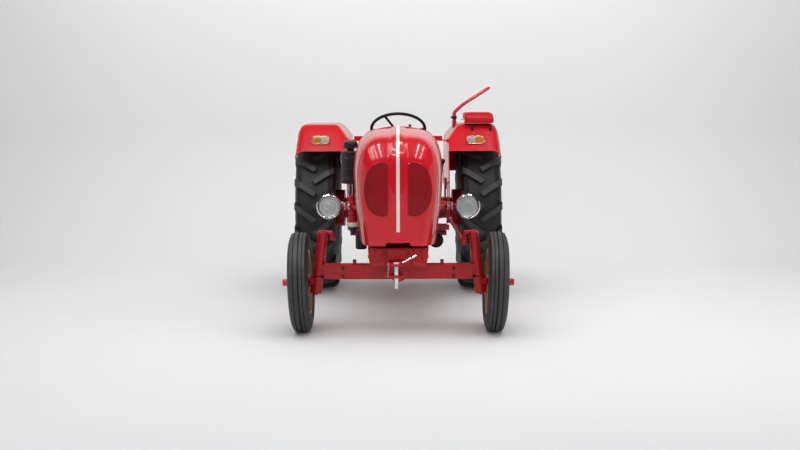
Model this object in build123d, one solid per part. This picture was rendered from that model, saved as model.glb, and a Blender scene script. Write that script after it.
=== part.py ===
from build123d import *
from math import cos, radians, sin
import os

os.makedirs("parts", exist_ok=True)

# Millimetres. X runs to the tractor's own left, Y to its rear, Z up from the ground.
# Stations along Y are counted from the front axle, and the whole is centred when it is written.

# Wheels and track
WHEELBASE = 2000.0
FRONT_TYRE_R = 332.5
FRONT_TYRE_W = 135.0
FRONT_RIM_R = 203.0
FRONT_HALF_TRACK = 646.0
CAMBER = 1.8
REAR_TYRE_R = 655.0
REAR_TYRE_W = 315.0
REAR_RIM_R = 356.0
REAR_HALF_TRACK = 651.0
LUGS_A_SIDE = 20
LUG_HEIGHT = 34.0

# Clearances
RUNNING_FIT = 0.08
SEAT_GAP = 0.3

# Front axle
BEAM_BOTTOM = 357.0
BEAM_TOP = 453.0
BEAM_DEPTH = 90.0
SLEEVE_HALF = 357.0
SLEEVE_WALL = 8.0
KINGPIN_TOP = (500.0, 0.0, 645.0)
KINGPIN_FOOT = (547.0, 0.0, 283.0)
KINGPIN_TUBE_R = 34.0
KINGPIN_R = 18.0
SPINDLE_R = 22.0
HUB_TIP = 740.0
HUB_R = 62.0
HUB_INNER = -52.0
HUB_BORE_END = 30.0
FRONT_BEAD_HALF = 52.0
GROOVE_DEPTH = 9.0
BOSS_TOP = 372.0
STOP_X = 290.0
PIVOT_R = 24.0
BEAM_MID = (BEAM_BOTTOM + BEAM_TOP) / 2
KINGPIN_TUBE_LOW = BOSS_TOP + 6.0

# Steering linkage: ball seats on the knuckles, the drop arm and its rod
BALL_SEAT_R = 20.0
BALL_SEAT_T = 14.0
TRACK_GAP = 4.0
DRAG_GAP = 7.5
SOCKET_H = 26.0
ARM_R = 12.0
TRACK_STUD_R = 7.0
TRACK_STUD_LEAN = -0.04
TRACK_OPEN_BORE = 9.5
TRACK_BALL_Y = 168.0
TRACK_BALL_Z = 360.0
TRACK_ARM_KNEE = (548.0, 92.0, 322.0)
DRAG_BALL = (434.0, 0.0, 612.0)
DRAG_ARM_KNEE = (442.0, 0.0, 664.0)
DROP_X = 362.0
DROP_PIVOT = (1100.0, 748.0)
DROP_FOOT_Z = 632.0
DROP_PIN_R = 8.0
DROP_SHAFT_R = 16.0

# Front bracket, tow jaw and pin
BRACKET_TOP = 582.0
BRACKET_FRONT = -205.0
BRACKET_REAR = 120.0
BRACKET_TOP_HALF = 197.0
BRACKET_FOOT_HALF = 178.0
BRACKET_FOOT = 458.0
JAW_NOSE = -372.0
JAW_BOTTOM = 409.0
JAW_TOP = 496.0
JAW_HALF = 44.0
JAW_PLATE = 13.0
TOW_PIN_R = 15.5
TOW_PIN_Y = -335.0
JAW_BACK = -262.0
TOW_X = -12.0

# Hood
HOOD_WALL = 7.0
HOOD_REAR = 1180.0
HOOD_HINGE_Y = -232.0
HOOD_HINGE_Z = 578.0
HOOD_PIN_R = 6.0
HOOD_EAR_X = 124.0
SIDE_PANEL_BOTTOM = 800.0
NOSE_REAR = 210.0
GRILLE_X0, GRILLE_X1 = 64.0, 216.0
GRILLE_Z0, GRILLE_Z1 = 792.0, 1138.0

# The hood's cross sections from the nose back. Columns: station, foot height, foot half
# width, greatest half width, its height, shoulder half width, its height, top height
NOSE_SECTIONS = [
    (-262.0, 600.0, 150.0, 186.0, 860.0, 118.0, 1080.0, 1122.0),
    (-205.0, 600.0, 190.0, 240.0, 920.0, 160.0, 1190.0, 1238.0),
    (-90.0, 600.0, 206.0, 272.0, 960.0, 190.0, 1242.0, 1303.0),
    (80.0, 600.0, 215.0, 288.0, 982.0, 205.0, 1264.0, 1336.0),
    (260.0, 600.0, 219.0, 292.0, 985.0, 210.0, 1270.0, 1345.0),
]
TAIL_SECTION = (HOOD_REAR, 600.0, 202.0, 250.0, 985.0, 192.0, 1250.0, 1325.0)

# Engine and gearbox
CRANK_HALF = 165.0
CRANK_FRONT = 125.0
CRANK_REAR = 790.0
CRANK_BOTTOM = 445.0
CRANK_TOP = 735.0
CYLINDERS = 3
CYLINDER_PITCH = 190.0
CYLINDER_FIRST_Y = 280.0
CYLINDER_TOP = 1060.0
GEARBOX_REAR = WHEELBASE - 200.0
CYLINDER_R = 68.0
FIN_R = 92.0
FIN_COUNT = 9
AIR_CAN = (-351.0, 960.0)
AIR_CAN_R = 70.0
FOOTBOARD_TOP = 548.0
CROSS_TUBE_R = 20.0
CROSS_TUBE_Z = 520.0

# Rear axle, drive stub and drawbar
REAR_BOLT_R = 118.0
REAR_SHAFT_R = 38.0
TRUMPET_END = 545.0
PTO_R = 17.5
PTO_Z = 610.0
DRAWBAR_PIN_R = 16.5
TOP_LINK_PIN_R = 9.7

# One lug's bar on the front of the tread, from its nose past the middle to the shoulder
LUG_NOSE = (-6.0, -48.0)
LUG_HEEL = (178.0, 78.0)
LUG_NOSE_HALF = 19.0
LUG_HEEL_HALF = 22.0
REAR_AXLE_Z = REAR_TYRE_R

# Cowl, steering wheel and driver's seat
COWL_Y = HOOD_REAR + 20.0
STEERING_WHEEL_R = 223.0
STEERING_WHEEL_CENTRE = (0.0, WHEELBASE - 375.0, 1312.0)
STEERING_WHEEL_TILT = 35.0
SEAT_Z = 985.0
SEAT_HALF = 230.0
SEAT_FRONT = WHEELBASE - 65.0
AXLE_CASE_TOP = REAR_TYRE_R + 180.0
AXLE_CASE_BOTTOM = REAR_TYRE_R - 185.0
DRAWBAR_Z = 413.0

# Fenders
FENDER_TOP = 2 * REAR_TYRE_R + 60.0
FENDER_TIP_X = 790.0
FENDER_WALL_X = 392.0
FENDER_SHEET = 6.0
FENDER_CHAMFER_Z = FENDER_TOP - 120.0
FENDER_TOP_X = 480.0
FENDER_FRONT_LIP = (WHEELBASE - 615.0, FENDER_TOP - 222.0)
FENDER_FRONT_CORNER = WHEELBASE - 430.0
FENDER_REAR_CORNER = WHEELBASE + 330.0
FENDER_BACK = (WHEELBASE + 560.0, FENDER_TOP - 185.0)
WING_LOW = FENDER_TOP - 550.0
FENDER_REAR_LIP = (WHEELBASE + 632.0, FENDER_TOP - 440.0)

# Lamps
LAMP = (509.0, 850.0, 762.0)
LAMP_R = 89.0
LENS_R = 81.0
LENS_DEPTH = 14.0

# Passenger seat on the left fender
SIDE_SEAT_X = (516.0, 752.0)
SIDE_SEAT_Y = (WHEELBASE - 500.0, WHEELBASE - 145.0)
SIDE_SEAT_TOP = FENDER_TOP + 70.0
RAIL_R = 11.0
RAIL_TOP = SIDE_SEAT_TOP + 205.0
SIDE_RAIL_X = 727.0
RAIL_FOOT_X = 452.0


def block(x0, x1, y0, y1, z0, z1):
    """A box between two corners."""
    return Pos((x0 + x1) / 2, (y0 + y1) / 2, (z0 + z1) / 2) * Box(x1 - x0, y1 - y0, z1 - z0)


def rod(start, end, radius):
    """A round bar from one point to another."""
    a, b = Vector(*start), Vector(*end)
    face = Plane(origin=a, z_dir=b - a) * Circle(radius)
    return extrude(face, (b - a).length)


def turned(profile, centre=(0, 0, 0)):
    """A solid of revolution about X, from (x, radius) points, at a wheel's centre."""
    points = [(r, x) for x, r in profile]
    face = make_face(Polyline(*points, close=True))
    solid = revolve(face, Axis.Y)
    # The profile lies in XY with the radius along X: its axis Y is turned to X.
    return Pos(*centre) * Rot(0, 0, -90) * solid


def mirrored(solid):
    return mirror(solid, about=Plane.YZ)


def both(solid):
    """A piece and its mirror image in one node, as solids that don't touch."""
    return Compound(children=list(solid.solids()) + list(mirrored(solid).solids()))


def bent_rod(points, bends, radius):
    """A round bar along straight runs joined by tangent arcs."""
    path = FilletPolyline(*points, radius=bends)
    first = Vector(*points[1]) - Vector(*points[0])
    return sweep(Plane(origin=points[0], z_dir=first) * Circle(radius), path=path)


def extruded_side(points, x0, x1):
    """A side outline of (y, z) points drawn out along X."""
    face = make_face(Polyline(*[(x0, y, z) for y, z in points], close=True))
    return extrude(face, x1 - x0, dir=(1, 0, 0))


def extruded_front(points, y0, y1):
    """A front outline of (x, z) points drawn out along Y."""
    face = make_face(Polyline(*[(x, y0, z) for x, z in points], close=True))
    return extrude(face, y1 - y0, dir=(0, 1, 0))


# The left side's geometry is made, and mirrored for the right
kingpin_axis = (Vector(*KINGPIN_TOP) - Vector(*KINGPIN_FOOT)).normalized()
front_hub = (FRONT_HALF_TRACK, 0.0, FRONT_TYRE_R)
cambered = Pos(*front_hub) * Rot(0, CAMBER, 0)


def on_kingpin(z):
    """The point of the left kingpin's axis at a height."""
    share = (z - KINGPIN_FOOT[2]) / (KINGPIN_TOP[2] - KINGPIN_FOOT[2])
    return tuple(f + share * (t - f) for f, t in zip(KINGPIN_FOOT, KINGPIN_TOP))


# Front wheel, made about its own centre with its outer side toward +X


def front_tyre():
    """Ribbed steering tyre: (x, radius) round the section, with its tread's grooves."""
    half, crown = FRONT_TYRE_W / 2, FRONT_TYRE_R
    shoulder = crown - 13.0
    # x of each groove's middle, its half width, its floor below the crown
    grooves = [(-30.0, 3.0, GROOVE_DEPTH), (-6.0, 5.0, GROOVE_DEPTH + 3), (27.0, 3.0, GROOVE_DEPTH)]
    tread = [(-half + 10, shoulder - 12), (-half + 19, shoulder + 6)]
    for x, width, depth in grooves:
        top = crown - 4.5 * (x / 40.0) ** 2
        tread += [(x - width, top), (x - width + 1, top - depth), (x + width - 1, top - depth), (x + width, top)]
    tread += [(half - 19, shoulder + 6), (half - 10, shoulder - 12)]
    wall = [(half, crown - 55), (half - 3, crown - 82), (FRONT_BEAD_HALF - 1, FRONT_RIM_R + 18)]
    bead = FRONT_BEAD_HALF - 1
    inner = [(bead, FRONT_RIM_R + SEAT_GAP), (-bead, FRONT_RIM_R + SEAT_GAP)]
    other = [(-x, r) for x, r in reversed(wall)]
    return turned(tread + wall + inner + other)


def front_rim():
    """Pressed wheel: drop-centre rim and dished disc."""
    edge, thick = FRONT_BEAD_HALF + 5, 5.0
    outer = [(-edge, FRONT_RIM_R + 14), (4 - edge, FRONT_RIM_R + 14), (5 - edge, FRONT_RIM_R)]
    outer += [(-25, FRONT_RIM_R - 3), (-18, FRONT_RIM_R - 22), (10, FRONT_RIM_R - 22), (17, FRONT_RIM_R - 3)]
    outer += [(edge - 5, FRONT_RIM_R), (edge - 4, FRONT_RIM_R + 14), (edge, FRONT_RIM_R + 14)]
    under = [(edge, FRONT_RIM_R - thick), (21, FRONT_RIM_R - thick - 4), (14, FRONT_RIM_R - 28)]
    disc = [(8, FRONT_RIM_R - 28), (20, 150), (32, 120), (30, 80), (30, HUB_R - 20 + SEAT_GAP)]
    disc += [(24, HUB_R - 20 + SEAT_GAP), (24, 80), (26, 118), (14, 147), (-4, FRONT_RIM_R - 28)]
    far = [(-22, FRONT_RIM_R - 28), (-29, FRONT_RIM_R - thick - 4), (-edge, FRONT_RIM_R - thick)]
    return turned(outer + under + disc + far)


def front_hub_solid():
    """Cast hub with its wheel flange, a blind bore for the spindle and a long cap."""
    tip = HUB_TIP - FRONT_HALF_TRACK
    bore = SPINDLE_R + RUNNING_FIT
    profile = [(HUB_INNER, bore), (HUB_INNER, HUB_R - 12), (-10, HUB_R - 14), (8, 95), (24 - SEAT_GAP, 95)]
    profile += [(24 - SEAT_GAP, HUB_R - 20), (40, HUB_R - 20), (58, 36), (64, 30), (tip - 16, 26), (tip - 14, 22)]
    profile += [(tip, 20), (tip, 0), (HUB_BORE_END, 0), (HUB_BORE_END, bore)]
    return turned(profile)


track_ball = (on_kingpin(TRACK_BALL_Z)[0], TRACK_BALL_Y, TRACK_BALL_Z)


def knuckle_arm(ball, start_z, knee, side):
    """A forged arm from the kingpin to a ball seat, whose face looks up (1) or down (-1)."""
    seat = Plane(origin=ball, z_dir=kingpin_axis)
    disc = extrude(seat * Circle(BALL_SEAT_R), -side * BALL_SEAT_T)
    low = Vector(*ball) - kingpin_axis * (side * (ARM_R + 1))
    return rod(on_kingpin(start_z), knee, ARM_R) + Pos(*knee) * Sphere(ARM_R) + rod(knee, tuple(low), ARM_R) + disc


def socket_centre(ball, gap, side):
    return Vector(*ball) + kingpin_axis * (side * (gap + SOCKET_H / 2))


def ball_socket(ball, gap, side):
    """The link's housing that faces a ball seat."""
    seat = Plane(origin=Vector(*ball) + kingpin_axis * (side * gap), z_dir=kingpin_axis)
    return extrude(seat * Circle(BALL_SEAT_R), side * SOCKET_H)


def track_stud(radius):
    """The stud on the left knuckle's ball seat that the track rod turns on."""
    lean = kingpin_axis + Vector(0, TRACK_STUD_LEAN, 0)
    return rod(Vector(*track_ball) - lean * 4, Vector(*track_ball) + lean * (TRACK_GAP + SOCKET_H + 9), radius)


def tie_rod():
    """Track rod behind the axle: its housings sit over the knuckles' ball seats."""
    left = socket_centre(track_ball, TRACK_GAP, 1)
    housing = ball_socket(track_ball, TRACK_GAP, 1)
    ends = housing + mirrored(housing)
    bar = rod((-left.X, left.Y, left.Z), tuple(left), 13)
    nut = rod((left.X - 130, left.Y, left.Z), (left.X - 60, left.Y, left.Z), 18)
    # The left housing turns on its stud, the right one is the linkage's open pivot
    solid = ends + bar + nut + mirrored(nut) - track_stud(TRACK_STUD_R + RUNNING_FIT)
    return solid - mirrored(track_stud(TRACK_OPEN_BORE))


def drop_arm():
    """Steering box's lever: a hub on the cross shaft, a flat arm and a ball at its foot."""
    x0, x1 = DROP_X, DROP_X + 16
    hub = rod((x0, DROP_PIVOT[0], DROP_PIVOT[1]), (x1 + 8, DROP_PIVOT[0], DROP_PIVOT[1]), 27)
    shaft = rod((DROP_X - 60, DROP_PIVOT[0], DROP_PIVOT[1]), (x0, DROP_PIVOT[0], DROP_PIVOT[1]), DROP_SHAFT_R)
    foot = (DROP_PIVOT[0], DROP_FOOT_Z)
    arm = block(x0, x1, foot[0] - 15, foot[0] + 15, foot[1], DROP_PIVOT[1])
    eye = rod((x0, foot[0], foot[1]), (x1, foot[0], foot[1]), 20)
    pin = rod((x1, foot[0], foot[1]), (x1 + 34, foot[0], foot[1]), DROP_PIN_R)
    return hub + shaft + arm + eye + pin


def drag_link():
    """Rod from the drop arm to the left knuckle's top arm."""
    front = socket_centre(DRAG_BALL, DRAG_GAP, -1)
    rear_x = DROP_X + 16 + 18
    rear = (rear_x, DROP_PIVOT[0], DROP_FOOT_Z)
    eye = rod((rear_x - 13, rear[1], rear[2]), (rear_x + 13, rear[1], rear[2]), 20)
    eye -= rod((rear_x - 20, rear[1], rear[2]), (rear_x + 20, rear[1], rear[2]), DROP_PIN_R + RUNNING_FIT)
    way = (front - Vector(*rear)).normalized()
    start = Vector(*rear) + way * 17
    return eye + rod(tuple(start), tuple(front), 12) + ball_socket(DRAG_BALL, DRAG_GAP, -1)


def knuckle_left():
    """Kingpin with its cap, the lower boss with the spindle, and the track arm."""
    foot = on_kingpin(KINGPIN_FOOT[2] - 22)
    pin = rod(foot, on_kingpin(KINGPIN_TOP[2] + 10), KINGPIN_R)
    cap = rod(on_kingpin(KINGPIN_TOP[2] + SEAT_GAP), on_kingpin(KINGPIN_TOP[2] + 26), KINGPIN_TUBE_R)
    cap = fillet(cap.edges().sort_by(Axis.Z)[-1], 9)
    boss = rod(foot, on_kingpin(BOSS_TOP), KINGPIN_TUBE_R + 5)
    hub_side = cambered * Pos(HUB_INNER, 0, 0) * Rot(0, 90, 0)
    low = (Align.CENTER, Align.CENTER, Align.MIN)
    collar = cambered * Pos(HUB_INNER - 40, 0, 0) * Rot(0, 90, 0) * Cylinder(36, 35, align=low)
    reach = HUB_BORE_END - HUB_INNER - 2
    spindle = hub_side * Pos(0, 0, -40) * Cylinder(SPINDLE_R, reach + 40, align=low)
    arm = knuckle_arm(track_ball, 296.0, TRACK_ARM_KNEE, 1)
    return pin + cap + boss + collar + spindle + arm + track_stud(TRACK_STUD_R)


def drag_arm():
    """The arm on top of the left kingpin that the drag link pushes."""
    return knuckle_arm(DRAG_BALL, KINGPIN_TOP[2] + 22, DRAG_ARM_KNEE, -1)


def axle_beam():
    """Square centre sleeve with clamp collars and the bump-stop bolts on top."""
    sleeve = block(-SLEEVE_HALF, SLEEVE_HALF, -BEAM_DEPTH / 2, BEAM_DEPTH / 2, BEAM_BOTTOM, BEAM_TOP)
    wall = SLEEVE_WALL
    bore = block(-SLEEVE_HALF - 1, SLEEVE_HALF + 1, -BEAM_DEPTH / 2 + wall, BEAM_DEPTH / 2 - wall,
                 BEAM_BOTTOM + wall, BEAM_TOP - wall)
    solid = sleeve - bore
    solid += block(-40, 40, -BEAM_DEPTH / 2, BEAM_DEPTH / 2, BEAM_BOTTOM, BEAM_TOP)
    solid -= rod((0, -60, BEAM_MID), (0, 60, BEAM_MID), PIVOT_R + RUNNING_FIT)
    for x in (-STOP_X, STOP_X):
        solid += block(x - 12, x + 12, -12, 12, BEAM_TOP, BEAM_TOP + 20)
    return solid


def axle_end():
    """Sliding end of the axle: inner bar, a web and the kingpin's tube."""
    slide = SLEEVE_WALL + SEAT_GAP
    inner = block(SLEEVE_HALF - 150, SLEEVE_HALF, -BEAM_DEPTH / 2 + slide, BEAM_DEPTH / 2 - slide,
                  BEAM_BOTTOM + slide, BEAM_TOP - slide)
    outer = block(SLEEVE_HALF + SEAT_GAP, 490, -BEAM_DEPTH / 2, BEAM_DEPTH / 2, BEAM_BOTTOM, BEAM_TOP)
    neck = block(SLEEVE_HALF - 1, SLEEVE_HALF + 2, -BEAM_DEPTH / 2 + slide, BEAM_DEPTH / 2 - slide,
                 BEAM_BOTTOM + slide, BEAM_TOP - slide)
    web = extruded_front([(484, BEAM_TOP - 10), (478, 530), (506, 596), (530, BEAM_TOP)], -7, 7)
    tube = rod(on_kingpin(KINGPIN_TUBE_LOW), KINGPIN_TOP, KINGPIN_TUBE_R)
    reach = block(470, 530, -BEAM_DEPTH / 2 + 12, BEAM_DEPTH / 2 - 12, KINGPIN_TUBE_LOW + 6, BEAM_TOP)
    bore = rod(on_kingpin(KINGPIN_FOOT[2]), on_kingpin(KINGPIN_TOP[2] + 40), KINGPIN_R + RUNNING_FIT)
    return inner + neck + outer + web + tube + reach - bore


def front_bracket():
    """Cast carrier under the nose: a tapering box, ears round the beam and a hinge boss."""
    outline = [(-BRACKET_TOP_HALF, BRACKET_TOP), (-BRACKET_TOP_HALF + 8, 500), (-BRACKET_FOOT_HALF, BRACKET_FOOT),
               (BRACKET_FOOT_HALF, BRACKET_FOOT), (BRACKET_TOP_HALF - 8, 500), (BRACKET_TOP_HALF, BRACKET_TOP)]
    body = extruded_front(outline, BRACKET_FRONT, BRACKET_REAR)
    body += block(-72, 58, BRACKET_FRONT - 14, BRACKET_FRONT, 500, BRACKET_TOP)
    for y0, y1 in ((-78, -BEAM_DEPTH / 2 - SEAT_GAP), (BEAM_DEPTH / 2 + SEAT_GAP, 78)):
        body += block(-62, 62, y0, y1, BEAM_MID, BRACKET_FOOT + 2)
        body += rod((0, y0, BEAM_MID), (0, y1, BEAM_MID), 62)
    body += rod((0, -92, BEAM_MID), (0, 92, BEAM_MID), PIVOT_R)
    body += block(-CRANK_HALF, CRANK_HALF, BRACKET_REAR - 1, CRANK_FRONT - SEAT_GAP, 510, BRACKET_TOP)
    low, high, y = HOOD_EAR_X - 14, HOOD_EAR_X + 18, HOOD_HINGE_Y
    lug = block(low, HOOD_EAR_X - SEAT_GAP, y - 12, BRACKET_FRONT + 2, HOOD_HINGE_Z - 14, BRACKET_TOP)
    lug += rod((low, y, HOOD_HINGE_Z), (high, y, HOOD_HINGE_Z), HOOD_PIN_R)
    return body + lug + mirrored(lug)


def tow_jaw():
    """Forked front tow jaw: two plates with a pin hole, on a stem from the bracket."""
    x0, x1 = TOW_X - JAW_HALF, TOW_X + JAW_HALF
    solid = Part()
    for z0, z1 in ((JAW_BOTTOM, JAW_BOTTOM + JAW_PLATE), (JAW_TOP - JAW_PLATE, JAW_TOP)):
        solid += block(x0, x1, JAW_NOSE, JAW_BACK, z0, z1)
    solid += block(x0, x1, JAW_BACK - 26, JAW_BACK, JAW_BOTTOM, JAW_TOP)
    stem_front = JAW_BACK - 2
    solid += block(TOW_X - 30, TOW_X + 30, stem_front, BRACKET_FRONT - SEAT_GAP, 462, JAW_TOP)
    solid = solid - rod((TOW_X, TOW_PIN_Y, JAW_BOTTOM - 5), (TOW_X, TOW_PIN_Y, JAW_TOP + 5), TOW_PIN_R + 0.5)
    return solid


def tow_pin():
    """Loose pin with a bent handle and a clip through its foot."""
    x, y = TOW_X, TOW_PIN_Y
    shank = rod((x, y, 340), (x, y, JAW_TOP + 12), TOW_PIN_R)
    collar = rod((x, y, JAW_TOP + SEAT_GAP), (x, y, JAW_TOP + 14), TOW_PIN_R + 7)
    handle = bent_rod([(x, y, JAW_TOP + 8), (x + 38, y, JAW_TOP + 8), (x + 128, y, JAW_TOP + 56)], 22, 5.5)
    clip = rod((x, y - 26, 358), (x, y + 26, 358), 3)
    return shank + collar + handle + clip


# The hood's cross sections from nose to rear: station, foot height, foot half width,
# greatest half width and its height, shoulder half width and its height, top height


def hood_section(row, inset):
    """The left half of one section: straight foot, side arc, shoulder arc and crown arc."""
    y, foot_z, foot, wide, wide_z, shoulder, shoulder_z, top = row
    foot, wide, shoulder = foot - inset, wide - inset, shoulder - inset * 0.8
    shoulder_z, top = shoulder_z - inset * 0.7, top - inset
    side = ThreePointArc((foot, foot_z), ((foot + wide * 2.6) / 3.6, (foot_z + wide_z) / 2), (wide, wide_z))
    bulge = (wide * 0.93 + shoulder * 0.07 - 2, wide_z + (shoulder_z - wide_z) * 0.6)
    upper = ThreePointArc((wide, wide_z), bulge, (shoulder, shoulder_z))
    crown = ThreePointArc((shoulder, shoulder_z), (shoulder * 0.52, top - (top - shoulder_z) * 0.2), (0, top))
    outline = Line((0, foot_z), (foot, foot_z)) + side + upper + crown + Line((0, top), (0, foot_z))
    return Plane(origin=(0, y, 0), x_dir=(1, 0, 0), z_dir=(0, -1, 0)) * make_face(outline)


def hood_form(inset, nose_inset, below):
    """The whole hood as one solid, or its inside when inset by the sheet."""
    nose = []
    for index, (y, foot_z, *rest) in enumerate(NOSE_SECTIONS):
        station = y + nose_inset if index == 0 else y
        nose.append(hood_section((station, foot_z - below, *rest), inset))
    y, foot_z, *rest = TAIL_SECTION
    tail = hood_section((y + below, foot_z - below, *rest), inset)
    half = loft(nose) + loft([nose[-1], tail], ruled=True)
    return half + mirrored(half)


def hood():
    """One-piece tilting hood: an open shell with raised flanks, grille openings and a hinge."""
    shell = hood_form(0, 0, 0) - hood_form(HOOD_WALL, HOOD_WALL, 5.0)
    under = extruded_side([(NOSE_REAR, 500), (NOSE_REAR, 640), (NOSE_REAR + 160, SIDE_PANEL_BOTTOM),
                           (HOOD_REAR + 20, SIDE_PANEL_BOTTOM), (HOOD_REAR + 20, 500)], -400, 400)
    shell -= under
    shell -= block(-52, 52, -300, -215, 500, 618)
    for cut in (grille_outline(0), mirrored(grille_outline(0))):
        shell -= cut
    front = NOSE_SECTIONS[0][0]
    y, z, x = HOOD_HINGE_Y, HOOD_HINGE_Z, HOOD_EAR_X
    ear = block(x, x + 12, front + HOOD_WALL - 2, y + 12, z + 20, 650) + block(x, x + 12, y - 12, y + 12, z - 12, 650)
    ear -= rod((x - 1, y, z), (x + 13, y, z), HOOD_PIN_R + RUNNING_FIT)
    return shell + ear + mirrored(ear)


def grille_outline(margin):
    """The D-shaped front opening on the left: straight inner edge, curved outer edge."""
    x0, z0, z1 = GRILLE_X0 + margin, GRILLE_Z0 + margin, GRILLE_Z1 - margin
    bow = (GRILLE_X1 - margin, (z0 + z1) / 2 + 25)
    edge = Line((x0, z0), (x0, z1)) + Line((x0, z1), (x0 + 45, z1)) + ThreePointArc(
        (x0 + 45, z1), bow, (x0 + 60, z0)) + Line((x0 + 60, z0), (x0, z0))
    face = Plane(origin=(0, -330, 0), x_dir=(1, 0, 0), z_dir=(0, -1, 0)) * make_face(edge)
    return extrude(face, -420)


def grille():
    """Both mesh panels, set just behind the nose's skin."""
    panel = hood_form(HOOD_WALL + SEAT_GAP, HOOD_WALL + SEAT_GAP, 0) - hood_form(HOOD_WALL + 4, HOOD_WALL + 4, 8)
    panel &= grille_outline(-9)
    return both(panel)


def hood_strip():
    """Bright centre strip from the crown down the nose."""
    band = block(-11, 11, -420, HOOD_REAR - 20, 690, 1500)
    skin = hood_form(-5, -5, -40) - hood_form(-SEAT_GAP, -SEAT_GAP, 8)
    return skin & band


def rear_carcass():
    """Rear tyre without its lugs, as (x, radius) round the section."""
    half, floor = REAR_TYRE_W / 2, REAR_TYRE_R - LUG_HEIGHT
    rim = REAR_RIM_R + SEAT_GAP
    wall = floor - REAR_RIM_R
    right = [(100, floor), (138, floor - 18), (half - 2, floor - 70), (half, REAR_RIM_R + wall * 0.54),
             (140, REAR_RIM_R + wall * 0.24), (112, rim + 22), (112, rim)]
    left = [(-x, r) for x, r in reversed(right)]
    return turned(right + left)


def lug_ring():
    """The space that the lugs fill, between the carcass and the tread's outer form."""
    half = REAR_TYRE_W / 2
    top = [(112, REAR_TYRE_R), (146, REAR_TYRE_R - 14), (half, REAR_TYRE_R - 34), (half, REAR_TYRE_R - 105)]
    foot = [(half - 22, REAR_TYRE_R - 105), (100, REAR_TYRE_R - LUG_HEIGHT - 12)]
    right = top + foot
    left = [(-x, r) for x, r in reversed(right)]
    return turned(right + left)


# One lug's bar on the front of the tread, from its nose past the middle to the shoulder


def rear_tyre():
    """Traction tyre: two rows of slanted lugs meeting in a V, half a pitch apart."""
    (ax, az), (bx, bz) = LUG_NOSE, LUG_HEEL
    way = Vector(bx - ax, bz - az).normalized()
    across = Vector(-way.Y, way.X)
    corners = [Vector(ax, az) + across * LUG_NOSE_HALF, Vector(ax, az) - across * LUG_NOSE_HALF,
               Vector(bx, bz) - across * LUG_HEEL_HALF, Vector(bx, bz) + across * LUG_HEEL_HALF]
    bar = extruded_front([(p.X, p.Y) for p in corners], -REAR_TYRE_R - 20, -REAR_TYRE_R + 125)
    lug = bar & lug_ring()
    pitch = 360 / LUGS_A_SIDE
    rows = [Rot(pitch * i, 0, 0) * lug for i in range(LUGS_A_SIDE)]
    other = mirrored(lug)
    rows += [Rot(pitch * (i + 0.5), 0, 0) * other for i in range(LUGS_A_SIDE)]
    return rear_carcass().fuse(*rows)


def rear_rim():
    """Rim with rolled edges and a dished centre disc."""
    r = REAR_RIM_R
    outer = [(-120, r + 18), (-115, r + 18), (-113, r), (-62, r - 4), (-52, r - 30), (52, r - 30), (62, r - 4)]
    outer += [(113, r), (115, r + 18), (120, r + 18), (120, r - 9), (66, r - 13), (56, r - 38)]
    disc = [(34, r - 38), (12, 262), (8, 150), (8, REAR_BOLT_R - 60), (0, REAR_BOLT_R - 60), (0, 150), (4, 268)]
    inner = [(24, r - 38), (-56, r - 38), (-66, r - 13), (-120, r - 9)]
    return turned(outer + disc + inner)


def rear_hub():
    """Half shaft with its wheel flange and the hub's cover outside the disc."""
    face = -SEAT_GAP
    flange = [(face - 22, REAR_SHAFT_R), (face - 22, 140), (face, 140), (face, REAR_BOLT_R - 62)]
    cover = [(46, REAR_BOLT_R - 66), (62, 40), (62, 0)]
    inner = TRUMPET_END - REAR_HALF_TRACK - 150
    return turned(flange + cover + [(inner, 0), (inner, REAR_SHAFT_R)])


def rear_axle():
    """Axle trumpets, brake housings and the final drive case across the tractor."""
    y, z = WHEELBASE, REAR_AXLE_Z
    profile = [(0, 175), (150, 175), (172, 150), (190, 104), (430, 84), (440, 150), (TRUMPET_END - 12, 150)]
    profile += [(TRUMPET_END, 138), (TRUMPET_END, 0), (0, 0)]
    half = turned(profile, (0, y, z))
    half -= rod((TRUMPET_END - 170, y, z), (TRUMPET_END + 1, y, z), REAR_SHAFT_R + RUNNING_FIT)
    case = half + mirrored(half)
    case += block(-150, 150, GEARBOX_REAR + SEAT_GAP, WHEELBASE + 190, AXLE_CASE_BOTTOM, AXLE_CASE_TOP)
    wing = block(FENDER_WALL_X - 14, FENDER_WALL_X - SEAT_GAP, y - 60, y + 60, z + 70, WING_LOW + 80)
    return case + pto_stub() + top_link_bracket() + wing + mirrored(wing)


def pto_stub():
    """Splined drive stub at the rear, left plain."""
    y = WHEELBASE + 190
    return rod((0, y - 1, PTO_Z), (0, y + 95, PTO_Z), PTO_R) + rod((0, y - 1, PTO_Z), (0, y + 12, PTO_Z), 52)


def drawbar():
    """Rear drawbar with the hitch pin hole, hung under the final drive case."""
    y = WHEELBASE + 190
    low, high = DRAWBAR_Z - 15, DRAWBAR_Z + 15
    plate = block(-48, 48, WHEELBASE - 60, y + 210, low, high)
    plate += rod((0, y + 210, low), (0, y + 210, high), 48)
    plate -= rod((0, y + 210, low - 8), (0, y + 210, high + 12), DRAWBAR_PIN_R)
    plate += block(-48, 48, WHEELBASE - 60, WHEELBASE + 150, DRAWBAR_Z + 15, AXLE_CASE_BOTTOM - SEAT_GAP)
    return plate


def lift_arms():
    """Lower links of the rear linkage, in their parked place beside the drawbar."""
    y0, y1, z0 = WHEELBASE + 110, WHEELBASE + 560, 490.0
    link = rod((205, y0, z0), (265, y1, 520), 17)
    link += rod((190, y0, z0), (220, y0, z0), 34)
    link += rod((245, y1, 520), (285, y1, 520), 36)
    link -= rod((240, y1, 520), (290, y1, 520), 14.3)
    link += rod((150 + SEAT_GAP, y0, z0), (192, y0, z0), 14)
    return both(link)


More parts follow.
